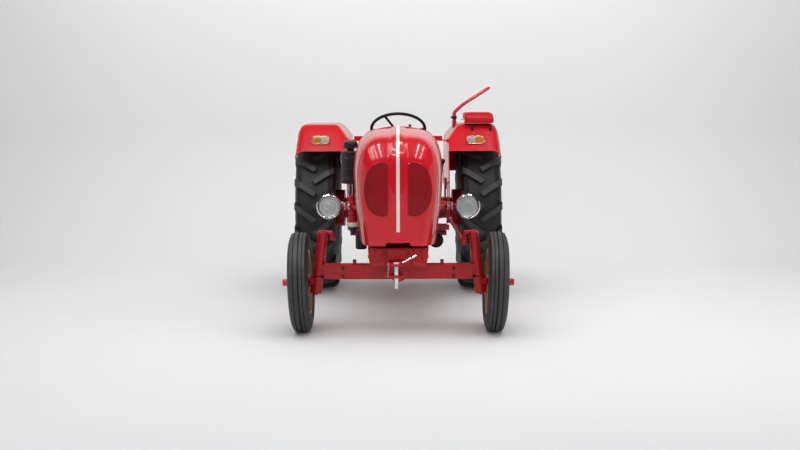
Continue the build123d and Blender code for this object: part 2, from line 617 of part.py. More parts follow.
def crankcase():
    """Engine block: crankcase with a sump, a front cover and the bell housing's face."""
    body = block(-CRANK_HALF, CRANK_HALF, CRANK_FRONT, CRANK_REAR, CRANK_BOTTOM + 60, CRANK_TOP)
    sump = extruded_front([(-CRANK_HALF + 8, CRANK_BOTTOM + 61), (-CRANK_HALF + 50, CRANK_BOTTOM),
                           (CRANK_HALF - 50, CRANK_BOTTOM), (CRANK_HALF - 8, CRANK_BOTTOM + 61)],
                          CRANK_FRONT + 20, CRANK_REAR - 20)
    return body + sump + block(-185, 185, CRANK_REAR - 26, CRANK_REAR, CRANK_BOTTOM + 30, CRANK_TOP + 40)


def cylinders():
    """Air-cooled cylinders with their fins, heads and rocker covers."""
    solid = Part()
    base = CRANK_TOP + SEAT_GAP
    head_z = CYLINDER_TOP - 110
    for i in range(CYLINDERS):
        y = CYLINDER_FIRST_Y + i * CYLINDER_PITCH
        solid += rod((0, y, base), (0, y, head_z), CYLINDER_R)
        for fin in range(FIN_COUNT):
            z = base + 26 + fin * (head_z - base - 30) / FIN_COUNT
            solid += rod((0, y, z), (0, y, z + 5), FIN_R)
        solid += block(-98, 98, y - 88, y + 88, head_z, head_z + 64)
        cover = block(-74, 74, y - 78, y + 78, head_z + 63, CYLINDER_TOP + 10)
        solid += cover
    return solid


def cooling_duct():
    """Blower casing at the front and the tapering air duct along the cylinders."""
    fan = rod((-116, CRANK_FRONT + 8, 900), (-116, CRANK_FRONT + 62, 900), 112)
    duct = extruded_side([(CRANK_FRONT + 60, 790), (CRANK_FRONT + 60, 1018), (760, 960), (760, 800)], -205, -98 - 6)
    foot = block(-150, -104, CRANK_FRONT + 30, CRANK_FRONT + 62, CRANK_TOP + SEAT_GAP, 800)
    return fan + duct + foot


def exhaust():
    """Manifold pipe on the left, a down pipe and the silencer lying under the footboard."""
    z = CYLINDER_TOP - 70
    manifold = bent_rod([(98 + SEAT_GAP, 280, z), (150, 280, z), (150, 690, z - 10), (196, 720, 700), (262, 650, 560)], 30, 21)
    silencer = rod((268, 560, 545), (268, 1080, 540), 52)
    tail = bent_rod([(268, 1078, 540), (268, 1180, 505), (300, 1330, 440)], 60, 20)
    stay = block(CRANK_HALF + SEAT_GAP, 232, 640, 664, 520, 560)
    return manifold + silencer + tail + stay


def air_cleaner():
    """Oil-bath air cleaner: can, domed cap on its neck, outlet pipe and bracket."""
    x, y = AIR_CAN
    can = rod((x, y, 925), (x, y, 1165), AIR_CAN_R)
    can = fillet(can.edges(), 12)
    neck = rod((x, y, 1160), (x, y, 1190), 26)
    cap = rod((x, y, 1186), (x, y, 1240), 54)
    cap = fillet(cap.edges().sort_by(Axis.Z)[-1], 24)
    head_rear = CYLINDER_FIRST_Y + (CYLINDERS - 1) * CYLINDER_PITCH + 88
    pipe = bent_rod([(x + 10, y, 930), (x + 10, y, 766), (-230, y - 80, 766), (-120, head_rear + 102, 860),
                     (-60, head_rear + 52, 975), (-60, head_rear + SEAT_GAP, 975)], 26, 19)
    # A plate from the can's side down to the top of the bell housing
    foot = 772.9
    stay = block(x + 36, x + 44, y - 22, y + 22, foot, 990) + block(x + 36, -100, y - 22, y + 22, foot, foot + 10)
    return can + neck + cap + pipe + stay


def gearbox():
    """Bell housing tapering to the gearbox, with the cover that carries the levers."""
    front = Pos(0, CRANK_REAR + SEAT_GAP, 610) * Rot(-90, 0, 0) * Rectangle(350, 330)
    mid = Pos(0, 1090, 625) * Rot(-90, 0, 0) * Rectangle(270, 290)
    bell = loft([front, mid], ruled=True)
    body = block(-135, 135, 1088, GEARBOX_REAR, 480, 770)
    cover = block(-95, 95, WHEELBASE - 650, WHEELBASE - 360, 770, 805)
    solid = bell + body + cover
    for y in (1300, 1600):
        solid += rod((-370, y, CROSS_TUBE_Z), (370, y, CROSS_TUBE_Z), CROSS_TUBE_R)
    return solid


def footboards():
    """Foot plates with a turned-up front lip, carried on the gearbox's cross tubes."""
    top, x0, x1 = FOOTBOARD_TOP, 150.0, 388.0
    side = [(1190, top + 42), (1194, top + 45), (1242, top + 4), (1690, top + 4), (1690, top), (1240, top)]
    plate = extruded_side(side, x0, x1)
    for y in (1300, 1600):
        plate += block(x0 + 10, x1 - 70, y - 18, y + 18, CROSS_TUBE_Z + CROSS_TUBE_R + SEAT_GAP, top + 1)
    return both(plate)


def cowl():
    """Instrument cowl behind the hood: an arched panel with its dial, on the gearbox."""
    y0, y1 = COWL_Y, COWL_Y + 150
    stay_y = FENDER_FRONT_LIP[0] + 81
    arch = Line((-288, 1000), (288, 1000)) + Line((288, 1000), (288, 1205)) + ThreePointArc(
        (288, 1205), (250, 1282), (176, 1316)) + ThreePointArc((176, 1316), (0, 1340), (-176, 1316)) + ThreePointArc(
        (-176, 1316), (-250, 1282), (-288, 1205)) + Line((-288, 1205), (-288, 1000))
    face = Plane(origin=(0, y0, 0), x_dir=(1, 0, 0), z_dir=(0, -1, 0)) * make_face(arch)
    solid = extrude(face, -(y1 - y0))
    solid = fillet(solid.edges().group_by(Axis.Y)[-1].filter_by(GeomType.CIRCLE), 18)
    solid += block(-120, 120, y0 + 10, y0 + 58, 770 + SEAT_GAP, 1001)
    for x in (-1, 1):
        solid += block(min(x * 262, x * 336), max(x * 262, x * 336), y0 + 60, y0 + 66, 1228, 1266)
        solid += rod((x * 330, y0 + 63, 1236), (x * (FENDER_WALL_X - 7), stay_y, 1222), 6)
        near, wall = x * (FENDER_WALL_X - 14), x * (FENDER_WALL_X - SEAT_GAP)
        solid += block(min(near, wall), max(near, wall), stay_y - 14, stay_y + 16, 1208, 1236)
    return solid


def steering_column():
    """Steering box on the gearbox's left, the column tube and its clamp under the cowl."""
    centre = Vector(*STEERING_WHEEL_CENTRE)
    axis = column_axis
    low, high = centre - axis * 600, centre - axis * 68
    tube = rod(tuple(low), tuple(high), 24) + block(-42, 42, 1268, 1340, 770 + SEAT_GAP, 850)
    tube -= rod(tuple(centre - axis * 210), tuple(centre + axis * 10), 12 + RUNNING_FIT)
    return tube


column_axis = Vector(0, sin(radians(STEERING_WHEEL_TILT)), cos(radians(STEERING_WHEEL_TILT)))


def steering_box():
    """Cast steering box beside the bell housing: the drop arm's cross shaft turns in it."""
    y, z = DROP_PIVOT
    body = block(135 + SEAT_GAP, 300, y - 10, y + 60, z - 58, z + 42) + block(146, 300, y - 60, y - 9, z - 58, z + 42)
    boss = rod((296, y, z), (DROP_X - 4, y, z), 32)
    solid = body + boss
    solid -= rod((DROP_X - 62, y, z), (DROP_X + 1, y, z), DROP_SHAFT_R + RUNNING_FIT)
    return solid


def steering_wheel():
    """Thin rim, three spokes and a hub on the column's shaft."""
    place = Plane(origin=STEERING_WHEEL_CENTRE, z_dir=column_axis, x_dir=(1, 0, 0))
    circle = Plane(origin=(STEERING_WHEEL_R - 12, 0, 0), x_dir=(1, 0, 0), z_dir=(0, -1, 0)) * Circle(12)
    rim = revolve(circle, Axis.Z)
    hub = Pos(0, 0, -34) * Cylinder(30, 56)
    shaft = Pos(0, 0, -110) * Cylinder(12, 180)
    spokes = Part()
    for angle in (0, 120, 240):
        a = radians(angle)
        end = ((STEERING_WHEEL_R - 14) * cos(a), (STEERING_WHEEL_R - 14) * sin(a), 0)
        spokes += rod((22 * cos(a), 22 * sin(a), -34), end, 6.5)
    return place * (rim + hub + shaft + spokes)


def rounded_side(points, radii, x0, x1):
    """A side outline of (y, z) points with rounded corners, drawn out along X."""
    path = FilletPolyline(*[(x0, y, z) for y, z in points], radius=radii, close=True)
    return extrude(make_face(path), x1 - x0, dir=(1, 0, 0))


# The fender's side outline from the front lip over the top to the rear lip


def fender():
    """Pressed mudguard: flat top, sloped front and rear, a chamfer and the inner wall."""
    t = FENDER_SHEET
    top = FENDER_TOP
    front = [(FENDER_WALL_X, 560), (FENDER_WALL_X, FENDER_CHAMFER_Z), (FENDER_TOP_X, top), (738, top), (FENDER_TIP_X, top - 42),
             (FENDER_TIP_X, 560)]
    hollow = [(FENDER_WALL_X + t, 540), (FENDER_WALL_X + t, FENDER_CHAMFER_Z - 2), (FENDER_TOP_X + t * 0.5, top - t),
              (738 - t * 0.4, top - t),
              (FENDER_TIP_X - t * 0.6, top - 42 - t), (900, top - 48 - t), (900, 540)]
    (fy, fz), (by, bz), (ry, rz) = FENDER_FRONT_LIP, FENDER_BACK, FENDER_REAR_LIP
    skin = [(fy, fz), (FENDER_FRONT_CORNER, top), (FENDER_REAR_CORNER, top), (by, bz), (ry, rz),
            (ry - 62, WING_LOW), (fy + 335, WING_LOW), (fy + 175, 600), (fy - 85, 600), (fy - 63, fz - 148)]
    inside = [(fy - 185, 500), (fy - 185, fz - t), (fy + t * 0.9, fz - t), (FENDER_FRONT_CORNER + t * 0.5, top - t),
              (FENDER_REAR_CORNER - t * 0.4, top - t), (by - t * 0.9, bz - t * 0.3), (ry - t, rz), (ry + 88, rz - 4),
              (ry + 88, 500)]
    y0, y1 = fy - 235, ry + 118
    outer = extruded_front(front, y0, y1) & extruded_side(skin, FENDER_WALL_X - 90, FENDER_TIP_X + 110)
    return outer - (extruded_front(hollow, y0, y1) & extruded_side(inside, FENDER_WALL_X - 90, FENDER_TIP_X + 210))


def indicators():
    """Pill-shaped lamps on the fenders' sloped fronts."""
    x, z = 602.0, FENDER_TOP - 139
    fy, fz = FENDER_FRONT_LIP
    face = Plane(origin=(x, fy + 31, z), x_dir=(1, 0, 0), z_dir=(0, -1, 0)) * SlotOverall(140, 54)
    lamp = extrude(face, -90)
    gap = SEAT_GAP * 1.5
    slope = extruded_side([(fy - gap, fz), (FENDER_FRONT_CORNER - gap, FENDER_TOP), (fy + 315, FENDER_TOP), (fy + 315, fz)],
                          x - 120, x + 120)
    return both(lamp - slope)


def headlamps():
    """Round lamp shells facing forward, each with a recess for its lens."""
    x, y, z = LAMP
    profile = [(0, 0), (0, LAMP_R - 4), (4, LAMP_R), (18, LAMP_R), (24, LAMP_R - 6), (60, LAMP_R - 12),
               (96, 52), (112, 24), (112, 0)]
    shell = revolve(make_face(Polyline(*[(r, d) for d, r in profile], close=True)), Axis.Y)
    shell -= rod((0, -1, 0), (0, LENS_DEPTH, 0), LENS_R + SEAT_GAP)
    return both(Pos(x, y, z) * shell)


def headlamp_lenses():
    """Domed glasses in the lamps' recesses."""
    x, y, z = LAMP
    dome = [(0, LENS_DEPTH - SEAT_GAP), (LENS_R, LENS_DEPTH - SEAT_GAP), (LENS_R, 2), (LENS_R - 26, -5), (0, -9)]
    return both(Pos(x, y, z) * revolve(make_face(Polyline(*dome, close=True)), Axis.Y))


def lamp_brackets():
    """Arms from the engine's rear flange out to the headlamps, with a clamp boss."""
    x, y, z = LAMP
    start_y = CRANK_REAR - 13
    foot = rod((185 + SEAT_GAP, start_y, 745), (214, start_y, 745), 22)
    arm = bent_rod([(200, start_y, 745), (290, start_y, 750), (340, y + 45, z), (x - 82.5, y + 45, z)], 30, 13)
    boss = rod((x - 150, y + 45, z), (x - 112, y + 45, z), 27)
    return both(foot + arm + boss)


def oil_filter():
    """Filter bowl beside the crankcase on its right, with its head."""
    x, y = -262.0, 500.0
    bowl = rod((x, y, 492), (x, y, 598), 40)
    return fillet(bowl.edges().sort_by(Axis.Z)[0], 12) + block(x - 30, -CRANK_HALF - SEAT_GAP, y - 28, y + 28, 596, 628)


def seat_frame():
    """Driver's seat pan with its turned-up back, on a pillar from the axle case."""
    x = SEAT_HALF
    y, z = SEAT_FRONT, SEAT_Z
    pan = rounded_side([(y, z - 6), (y, z), (y + 345, z - 22), (y + 409, z + 270), (y + 417, z + 268), (y + 353, z - 30)],
                       2.0, -x, x)
    pillar = block(-45, 45, y + 125, y + 215, AXLE_CASE_TOP + SEAT_GAP, z - 16)
    return pan + pillar


def seat_cushions():
    """Driver's seat and back pads."""
    x = SEAT_HALF - 8
    y, z = SEAT_FRONT, SEAT_Z
    base = rounded_side([(y + 7, z - 0.1), (y + 7, z + 64), (y + 275, z + 50), (y + 275, z - 17.2)], 14.0, -x, x)
    back = rounded_side([(y + 281, z + 10), (y + 349, z + 315), (y + 418.2, z + 315), (y + 350.2, z + 4)], 14.0, -x, x)
    return Compound(children=[base.solid(), back.solid()])


def side_seat_frame():
    """Passenger seat pan on the left fender with its feet and the grab rail."""
    (x0, x1), (y0, y1) = SIDE_SEAT_X, SIDE_SEAT_Y
    low = FENDER_TOP + 10
    pan = block(x0 - 10, x1 + 4, y0 + 110, y1 + 6, low, low + 5)
    for x in (x0 + 30, x1 - 30):
        for y in (y0 + 150, y1 - 40):
            pan += rod((x, y, FENDER_TOP + SEAT_GAP), (x, y, low + 1), 9)
    far, near = y1 + 45, y1 - 115
    x, foot, knee, top = RAIL_FOOT_X, FENDER_TOP - 8, FENDER_TOP + 70, RAIL_TOP - RAIL_R
    bend_x, bend_z = x + 68, knee + 62
    rail = bent_rod([(x, far, foot), (x, far, knee), (bend_x, far, bend_z), (SIDE_RAIL_X, far, top),
                     (SIDE_RAIL_X, near, top), (bend_x, near, bend_z), (x, near, knee), (x, near, foot)],
                    28.0, RAIL_R)
    # The clamps' feet follow the fender's slope
    slope = (FENDER_TOP - FENDER_CHAMFER_Z) / (FENDER_TOP_X - FENDER_WALL_X)
    low, high = [FENDER_CHAMFER_Z + (side - FENDER_WALL_X) * slope + 2 * SEAT_GAP for side in (x - 14, x + 14)]
    for y in (far, near):
        rail += extruded_front([(x - 14, low), (x + 14, high), (x + 14, FENDER_TOP), (x - 14, FENDER_TOP)], y - 16, y + 16)
    return Compound(children=[pan.solid(), *rail.solids()])


def side_seat_cushion():
    """Passenger cushion, its front rolled down over the fender's front corner."""
    (x0, x1), (y0, y1) = SIDE_SEAT_X, SIDE_SEAT_Y
    low, top = FENDER_TOP + 15 + SEAT_GAP, SIDE_SEAT_TOP
    outline = [(y0, top - 88), (y0, top - 12), (y0 + 40, top), (y1 - 10, top), (y1, low), (y0 + 86, low),
               (y0 + 38, top - 88)]
    return rounded_side(outline, 8.0, x0, x1)


def levers():
    """Gear lever on the gearbox cover and the hand lever beside the cowl, with knobs."""
    gear = bent_rod([(0, 1470, 805 + SEAT_GAP), (0, 1470, 900), (40, 1560, 1050)], 40, 8)
    gear += Pos(40, 1560, 1056) * Sphere(20)
    hand = bent_rod([(135 + SEAT_GAP, 1400, 700), (300, 1400, 700), (347, 1400, 1060)], 40, 7)
    hand += Pos(347, 1400, 1068) * Sphere(17)
    return Compound(children=[gear.solid(), hand.solid()])


def pedals():
    """Clutch and brake pedals over the footboards."""
    x = 232.0
    pedal = bent_rod([(135 + SEAT_GAP, 1240, 640), (x, 1240, 640), (x, 1262, 742)], 26, 8)
    pedal += block(x - 36, x + 36, 1256, 1266, 716, 766)
    return both(pedal)


def tail_lamps():
    """Round rear lamps on the fenders' sloped backs."""
    (by, bz), (ry, rz) = FENDER_BACK, FENDER_REAR_LIP
    lamp = rod((610, by - 60, bz - 85), (610, by + 72, bz - 85), 42)
    slope = extruded_side([(by + SEAT_GAP * 1.5, bz), (ry + SEAT_GAP * 1.5, rz), (by - 300, rz), (by - 300, bz)],
                          500, 720)
    return both(lamp - slope)


def top_link_bracket():
    """Ears on the back of the axle case for the linkage's top link."""
    y = WHEELBASE + 190
    solid = block(-60, 60, y - 1, y + 14, 700, 820)
    for x in (-44, 30):
        ear = block(x, x + 14, y + 13, y + 80, 720, 800)
        solid += ear
    return solid - rod((-60, y + 55, 760), (60, y + 55, 760), TOP_LINK_PIN_R)


front_wheel_place = cambered
rear_wheel_place = Pos(REAR_HALF_TRACK, WHEELBASE, REAR_TYRE_R)
PIECES = {
    "front_bracket": front_bracket(),
    "tow_jaw": tow_jaw(),
    "tow_pin": tow_pin(),
    "axle_beam": axle_beam(),
    "axle_ends": both(axle_end()),
    "crankcase": crankcase(),
    "cylinders": cylinders(),
    "cooling_duct": cooling_duct(),
    "exhaust": exhaust(),
    "air_cleaner": air_cleaner(),
    "oil_filter": oil_filter(),
    "gearbox": gearbox(),
    "rear_axle": rear_axle(),
    "drawbar": drawbar(),
    "lift_arms": lift_arms(),
    "footboards": footboards(),
    "controls": Compound(children=[*levers().solids(), *pedals().solids()]),
    "cowl": cowl(),
    "steering_box": steering_box(),
    "steering_column": steering_column(),
    "steering_wheel": steering_wheel(),
    "drop_arm": drop_arm(),
    "drag_link": drag_link(),
    "tie_rod": tie_rod(),
    "seat_frame": seat_frame(),
    "seat_cushions": seat_cushions(),
    "side_seat_frame": side_seat_frame(),
    "side_seat_cushion": side_seat_cushion(),
    "headlamps": headlamps(),
    "headlamp_lenses": headlamp_lenses(),
    "lamp_brackets": lamp_brackets(),
    "indicators": indicators(),
    "tail_lamps": tail_lamps(),
    "hood": hood(),
    "grille": grille(),
    "hood_strip": hood_strip(),
}
PAIRS = {
    "knuckle": knuckle_left() + drag_arm(),
    "fender": fender(),
    "front_tyre": front_wheel_place * front_tyre(),
    "front_rim": front_wheel_place * front_rim(),
    "front_hub": front_wheel_place * front_hub_solid(),
    "rear_tyre": rear_wheel_place * rear_tyre(),
    "rear_rim": rear_wheel_place * rear_rim(),
    "rear_hub": rear_wheel_place * rear_hub(),
}
for name, piece in PAIRS.items():
    PIECES[name + "_left"] = piece
    PIECES[name + "_right"] = mirrored(piece)

# The length runs from the tow jaw's nose to the back of the rear tyres
middle_y = (JAW_NOSE + WHEELBASE + REAR_TYRE_R) / 2
for name, piece in PIECES.items():
    export_step(Pos(0, -middle_y, 0) * piece, f"parts/{name}.step")
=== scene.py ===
"""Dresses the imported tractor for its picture: paint, rubber, glass, fasteners, seats and a studio."""
import math

import bmesh
import bpy
from mathutils import Matrix, Vector, noise
from mathutils.bvhtree import BVHTree


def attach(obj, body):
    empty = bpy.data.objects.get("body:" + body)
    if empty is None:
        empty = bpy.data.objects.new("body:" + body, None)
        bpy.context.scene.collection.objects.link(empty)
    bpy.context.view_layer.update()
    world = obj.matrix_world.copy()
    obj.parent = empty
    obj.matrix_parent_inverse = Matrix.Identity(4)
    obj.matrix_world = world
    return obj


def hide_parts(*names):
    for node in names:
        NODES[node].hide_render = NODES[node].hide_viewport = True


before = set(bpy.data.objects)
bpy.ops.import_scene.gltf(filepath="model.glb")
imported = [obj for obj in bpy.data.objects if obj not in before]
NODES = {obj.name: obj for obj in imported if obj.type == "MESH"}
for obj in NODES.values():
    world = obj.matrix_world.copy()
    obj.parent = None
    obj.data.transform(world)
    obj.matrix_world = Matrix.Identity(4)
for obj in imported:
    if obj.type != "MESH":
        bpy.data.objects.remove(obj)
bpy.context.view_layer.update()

bl_info = {
    "name": "Vintage tractor dressing",
    "version": (1, 0, 0),
    "blender": (4, 5, 0),
    "location": "3D View > Sidebar > Tractor",
    "description": "Paints the tractor's nodes and builds its trim, fasteners, seats and studio",
    "category": "Object",
}

# The solids' source counts stations along the tractor from the front axle, in millimetres
STATION_MIDDLE = 1141.5
CAMBER = math.radians(1.8)
FRONT_HUB = (646.0, 0.0, 332.5)
REAR_HUB = (651.0, 2000.0, 655.0)
SIDES = (("left", 1), ("right", -1))

# Directions: the front faces local -Y, and the tractor's own left is +X
UP = (0, 0, 1)
DOWN = (0, 0, -1)
AHEAD = (0, -1, 0)
BACK = (0, 1, 0)
LEFT = (1, 0, 0)
RIGHT = (-1, 0, 0)

SLOT_STEPS = 10
SHEET_METAL = 0.004


def at(x, y, z):
    """A point in metres from the source's millimetres and station."""
    return Vector((x / 1000, (y - STATION_MIDDLE) / 1000, z / 1000))


def mm(value):
    return value / 1000


def polar(radius, angle, along=0.0):
    """A local point in metres: millimetres out from local Z at an angle, and millimetres along it."""
    return Vector((mm(radius) * math.cos(angle), mm(radius) * math.sin(angle), mm(along)))


def aim(point, direction, roll=0.0):
    """A place whose local Z runs along a direction."""
    turn = Vector(direction).to_track_quat("Z", "Y").to_matrix().to_4x4()
    return Matrix.Translation(point) @ turn @ Matrix.Rotation(roll, 4, "Z")


def lathe(bm, place, profile, segments=32):
    """Turns (along, radius) points in millimetres about the place's local Z."""
    rings = []
    for along, radius in profile:
        if radius < 1e-4:
            rings.append([bm.verts.new(place @ Vector((0, 0, mm(along))))])
            continue
        ring = []
        for i in range(segments):
            a = 2 * math.pi * i / segments
            ring.append(bm.verts.new(place @ polar(radius, a, along)))
        rings.append(ring)
    for low, high in zip(rings, rings[1:]):
        for i in range(segments):
            j = (i + 1) % segments
            if len(low) == 1 and len(high) == 1:
                continue
            if len(low) == 1:
                bm.faces.new((low[0], high[j], high[i]))
            elif len(high) == 1:
                bm.faces.new((low[i], low[j], high[0]))
            else:
                bm.faces.new((low[i], low[j], high[j], high[i]))


def ring(bm, place, profile, segments=48):
    """A closed section of (along, radius) points turned about the place's local Z."""
    lathe(bm, place, list(profile) + [profile[0]], segments)


def smooth_line(points, steps=6):
    """Points of a smooth curve through the given ones."""
    last = len(points) - 1
    line = []
    for i in range(last):
        a, b, c, d = points[max(i - 1, 0)], points[i], points[i + 1], points[min(i + 2, last)]
        for step in range(steps):
            t = step / steps
            line.append(0.5 * ((2 * b) + (c - a) * t + (2 * a - 5 * b + 4 * c - d) * t * t
                               + (3 * b - a - 3 * c + d) * t ** 3))
    line.append(points[-1].copy())
    return line


def tube(bm, points, radius, segments=10, closed=False):
    """A round tube along points in metres. Its radius in millimetres is one value, or one for each point."""
    count = len(points)
    radii = radius if isinstance(radius, (list, tuple)) else [radius] * count
    rings = []
    side = None
    for i, point in enumerate(points):
        ahead = points[(i + 1) % count] if closed or i < count - 1 else point
        behind = points[i - 1] if closed or i else point
        way = (ahead - behind).normalized()
        if side is None:
            hint = Vector(UP) if abs(way.z) < 0.9 else Vector(LEFT)
            side = way.cross(hint).normalized()
        else:
            side = (side - way * side.dot(way)).normalized()
        top = side.cross(way).normalized()
        r = mm(radii[i])
        rings.append([bm.verts.new(point + side * (r * math.cos(2 * math.pi * k / segments))
                                   + top * (r * math.sin(2 * math.pi * k / segments)))
                      for k in range(segments)])
    pairs = list(zip(rings, rings[1:])) + ([(rings[-1], rings[0])] if closed else [])
    for a, b in pairs:
        for k in range(segments):
            j = (k + 1) % segments
            bm.faces.new((a[k], a[j], b[j], b[k]))
    if not closed:
        bm.faces.new(rings[0][::-1])
        bm.faces.new(rings[-1])


def prism(bm, place, outline, thick):
    """A plate in millimetres: an outline in the place's XY, raised along its Z."""
    low = [bm.verts.new(place @ Vector((mm(x), mm(y), 0))) for x, y in outline]
    high = [bm.verts.new(place @ Vector((mm(x), mm(y), mm(thick)))) for x, y in outline]
    bm.faces.new(low[::-1])
    bm.faces.new(high)
    for i in range(len(outline)):
        j = (i + 1) % len(outline)
        bm.faces.new((low[i], low[j], high[j], high[i]))


def oblong(half, low, high):
    """A rectangle's outline, as wide as twice its half."""
    return [(-half, low), (half, low), (half, high), (-half, high)]


def oblong_ring(half, inner, outer):
    """The section of a flat band: as wide as twice its half, between two radii."""
    return [(-half, inner), (-half, outer), (half, outer), (half, inner)]


def slot_outline(length, width):
    """A pill's outline, centred, its length along X."""
    r, half = width / 2, length / 2 - width / 2
    points = []
    for centre, first in ((half, -90), (-half, 90)):
        for i in range(SLOT_STEPS + 1):
            a = math.radians(first + 180 * i / SLOT_STEPS)
            points.append((centre + r * math.cos(a), r * math.sin(a)))
    return points


def bolt(bm, point, direction, size=10.0, washer=True, square=False, roll=0.3):
    """A bolt head on its washer. The size is the thread's diameter in millimetres."""
    place = aim(point, direction, roll)
    base = 0.0
    if washer:
        base = size * 0.16
        lathe(bm, place, [(0, size * 1.02), (base * 0.8, size * 1.02), (base, size * 0.96), (base, 0)], 20)
    across = size * (0.98 if not square else 1.05)
    head = [(base - 0.1, across), (base + size * 0.52, across), (base + size * 0.66, across * 0.84),
            (base + size * 0.68, 0)]
    lathe(bm, place, head, 4 if square else 6)


def nipple(bm, point, direction, size=4.0):
    """A grease nipple."""
    place = aim(point, direction)
    lathe(bm, place, [(0, size), (size * 0.8, size), (size * 0.8, size * 0.55), (size * 1.8, size * 0.5),
                      (size * 2.0, size * 0.72), (size * 2.6, size * 0.6), (size * 2.8, 0)], 12)


def mirrored_mesh(bm):
    """A copy of the mesh for the other side of the tractor."""
    other = bm.copy()
    bmesh.ops.transform(other, matrix=Matrix.Scale(-1, 4, (1, 0, 0)), verts=other.verts)
    bmesh.ops.reverse_faces(other, faces=other.faces)
    return other


def add_piece(name, bm, body, slot, material, bevel=0.0, angle=38.0):
    """Makes the object of a mesh, shaded smooth up to an angle, and lets it ride on a body."""
    bmesh.ops.recalc_face_normals(bm, faces=bm.faces)
    limit = math.radians(angle)
    for face in bm.faces:
        face.smooth = True
    for edge in bm.edges:
        edge.smooth = edge.calc_face_angle(math.pi) < limit
    mesh = bpy.data.meshes.new(name)
    bm.to_mesh(mesh)
    bm.free()
    obj = bpy.data.objects.new(name, mesh)
    bpy.context.scene.collection.objects.link(obj)
    mesh.materials.append(finish(material))
    if bevel:
        edge = obj.modifiers.new("edges", "BEVEL")
        edge.width, edge.segments, edge.limit_method, edge.angle_limit = mm(bevel), 2, "ANGLE", limit
        edge.harden_normals = False
    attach(obj, body)
    return obj


def give_wall(skin):
    """Thickens a pressed skin inward to sheet metal."""
    wall = skin.modifiers.new("wall", "SOLIDIFY")
    wall.thickness, wall.offset = SHEET_METAL, -1.0


def add_pair(name, bm, bodies, slot, material, **options):
    """A piece for the left side and its mirror image for the right."""
    other = mirrored_mesh(bm)
    left, right = (bodies, bodies) if isinstance(bodies, str) else bodies
    return [add_piece(name + "_left", bm, left, slot, material, **options),
            add_piece(name + "_right", other, right, slot, material, **options)]


def surface(node):
    """A search tree over a node's mesh, in the row frame."""
    mesh = NODES[node].data
    mesh.calc_loop_triangles()
    return BVHTree.FromPolygons([v.co for v in mesh.vertices], [t.vertices for t in mesh.loop_triangles])


def first_hit(tree, start, direction):
    """Where a ray first meets a surface: (point, normal), or None."""
    point, normal, _, _ = tree.ray_cast(Vector(start), Vector(direction).normalized())
    return None if point is None else (point, normal)


# Finishes. Every colour is linear red, green and blue.

class Graph:
    """Short calls for building a node tree."""

    def __init__(self, tree):
        self.tree = tree

    def add(self, kind, inputs=None, **settings):
        node = self.tree.nodes.new(kind)
        for key, value in settings.items():
            setattr(node, key, value)
        for key, value in (inputs or {}).items():
            self.put(node, key, value)
        return node

    def put(self, node, key, value):
        socket = node.inputs[key]
        if isinstance(value, bpy.types.NodeSocket):
            self.tree.links.new(value, socket)
        else:
            socket.default_value = value

    def mix(self, factor, a, b):
        """A mix of two colours."""
        node = self.add("ShaderNodeMix", data_type="RGBA")
        self.put(node, 0, factor)
        for index, value in ((6, a), (7, b)):
            if not isinstance(value, bpy.types.NodeSocket):
                value = (*value[:3], 1.0)
            self.put(node, index, value)
        return node.outputs[2]

    def span(self, value, low, high, to_low=0.0, to_high=1.0):
        """A value's range mapped to another."""
        node = self.add("ShaderNodeMapRange", {0: value, 1: low, 2: high, 3: to_low, 4: to_high})
        return node.outputs[0]

    def math(self, operation, a, b=0.0):
        return self.add("ShaderNodeMath", {0: a, 1: b}, operation=operation).outputs[0]

    def place(self):
        """Where the point lies in the object's own frame."""
        return self.add("ShaderNodeTexCoord").outputs["Object"]

    def noise(self, place, scale, detail, **more):
        """A noise's value between 0 and 1."""
        inputs = {"Vector": place, "Scale": scale, "Detail": detail}
        inputs.update(more)
        return self.add("ShaderNodeTexNoise", inputs).outputs["Fac"]

    def effect(self, name, **values):
        """A shared effect's group with its own values."""
        node = self.add("ShaderNodeGroup", node_tree=group(name))
        for key, value in values.items():
            self.put(node, key, value)
        return node.outputs[0]

    def bump(self, height, strength, distance):
        return self.add("ShaderNodeBump", {"Height": height, "Strength": strength, "Distance": distance})


def make_group(name, inputs, outputs):
    """An empty node group with float inputs (name, default) and outputs (name, kind)."""
    tree = bpy.data.node_groups.new(name, "ShaderNodeTree")
    for label, default in inputs:
        socket = tree.interface.new_socket(label, in_out="INPUT", socket_type="NodeSocketFloat")
        socket.default_value = default
    for label in outputs:
        tree.interface.new_socket(label, in_out="OUTPUT", socket_type="NodeSocketFloat")
    graph = Graph(tree)
    return tree, graph, graph.add("NodeGroupInput"), graph.add("NodeGroupOutput")


def edge_wear_group():
    """A mask that is bright on worn corners: the edge's sharpness broken up by noise."""
    tree, g, given, out = make_group("Edge wear", [("Amount", 0.3), ("Scale", 60.0)], ["Mask"])
    place = g.place()
    sharp = g.span(g.add("ShaderNodeNewGeometry").outputs["Pointiness"], 0.53, 0.62)
    patch = g.span(g.noise(place, given.outputs["Scale"], 4.0), 0.48, 0.62)
    mask = g.math("MULTIPLY", g.math("MULTIPLY", sharp, patch), given.outputs["Amount"])
    g.put(out, "Mask", mask)
    return tree


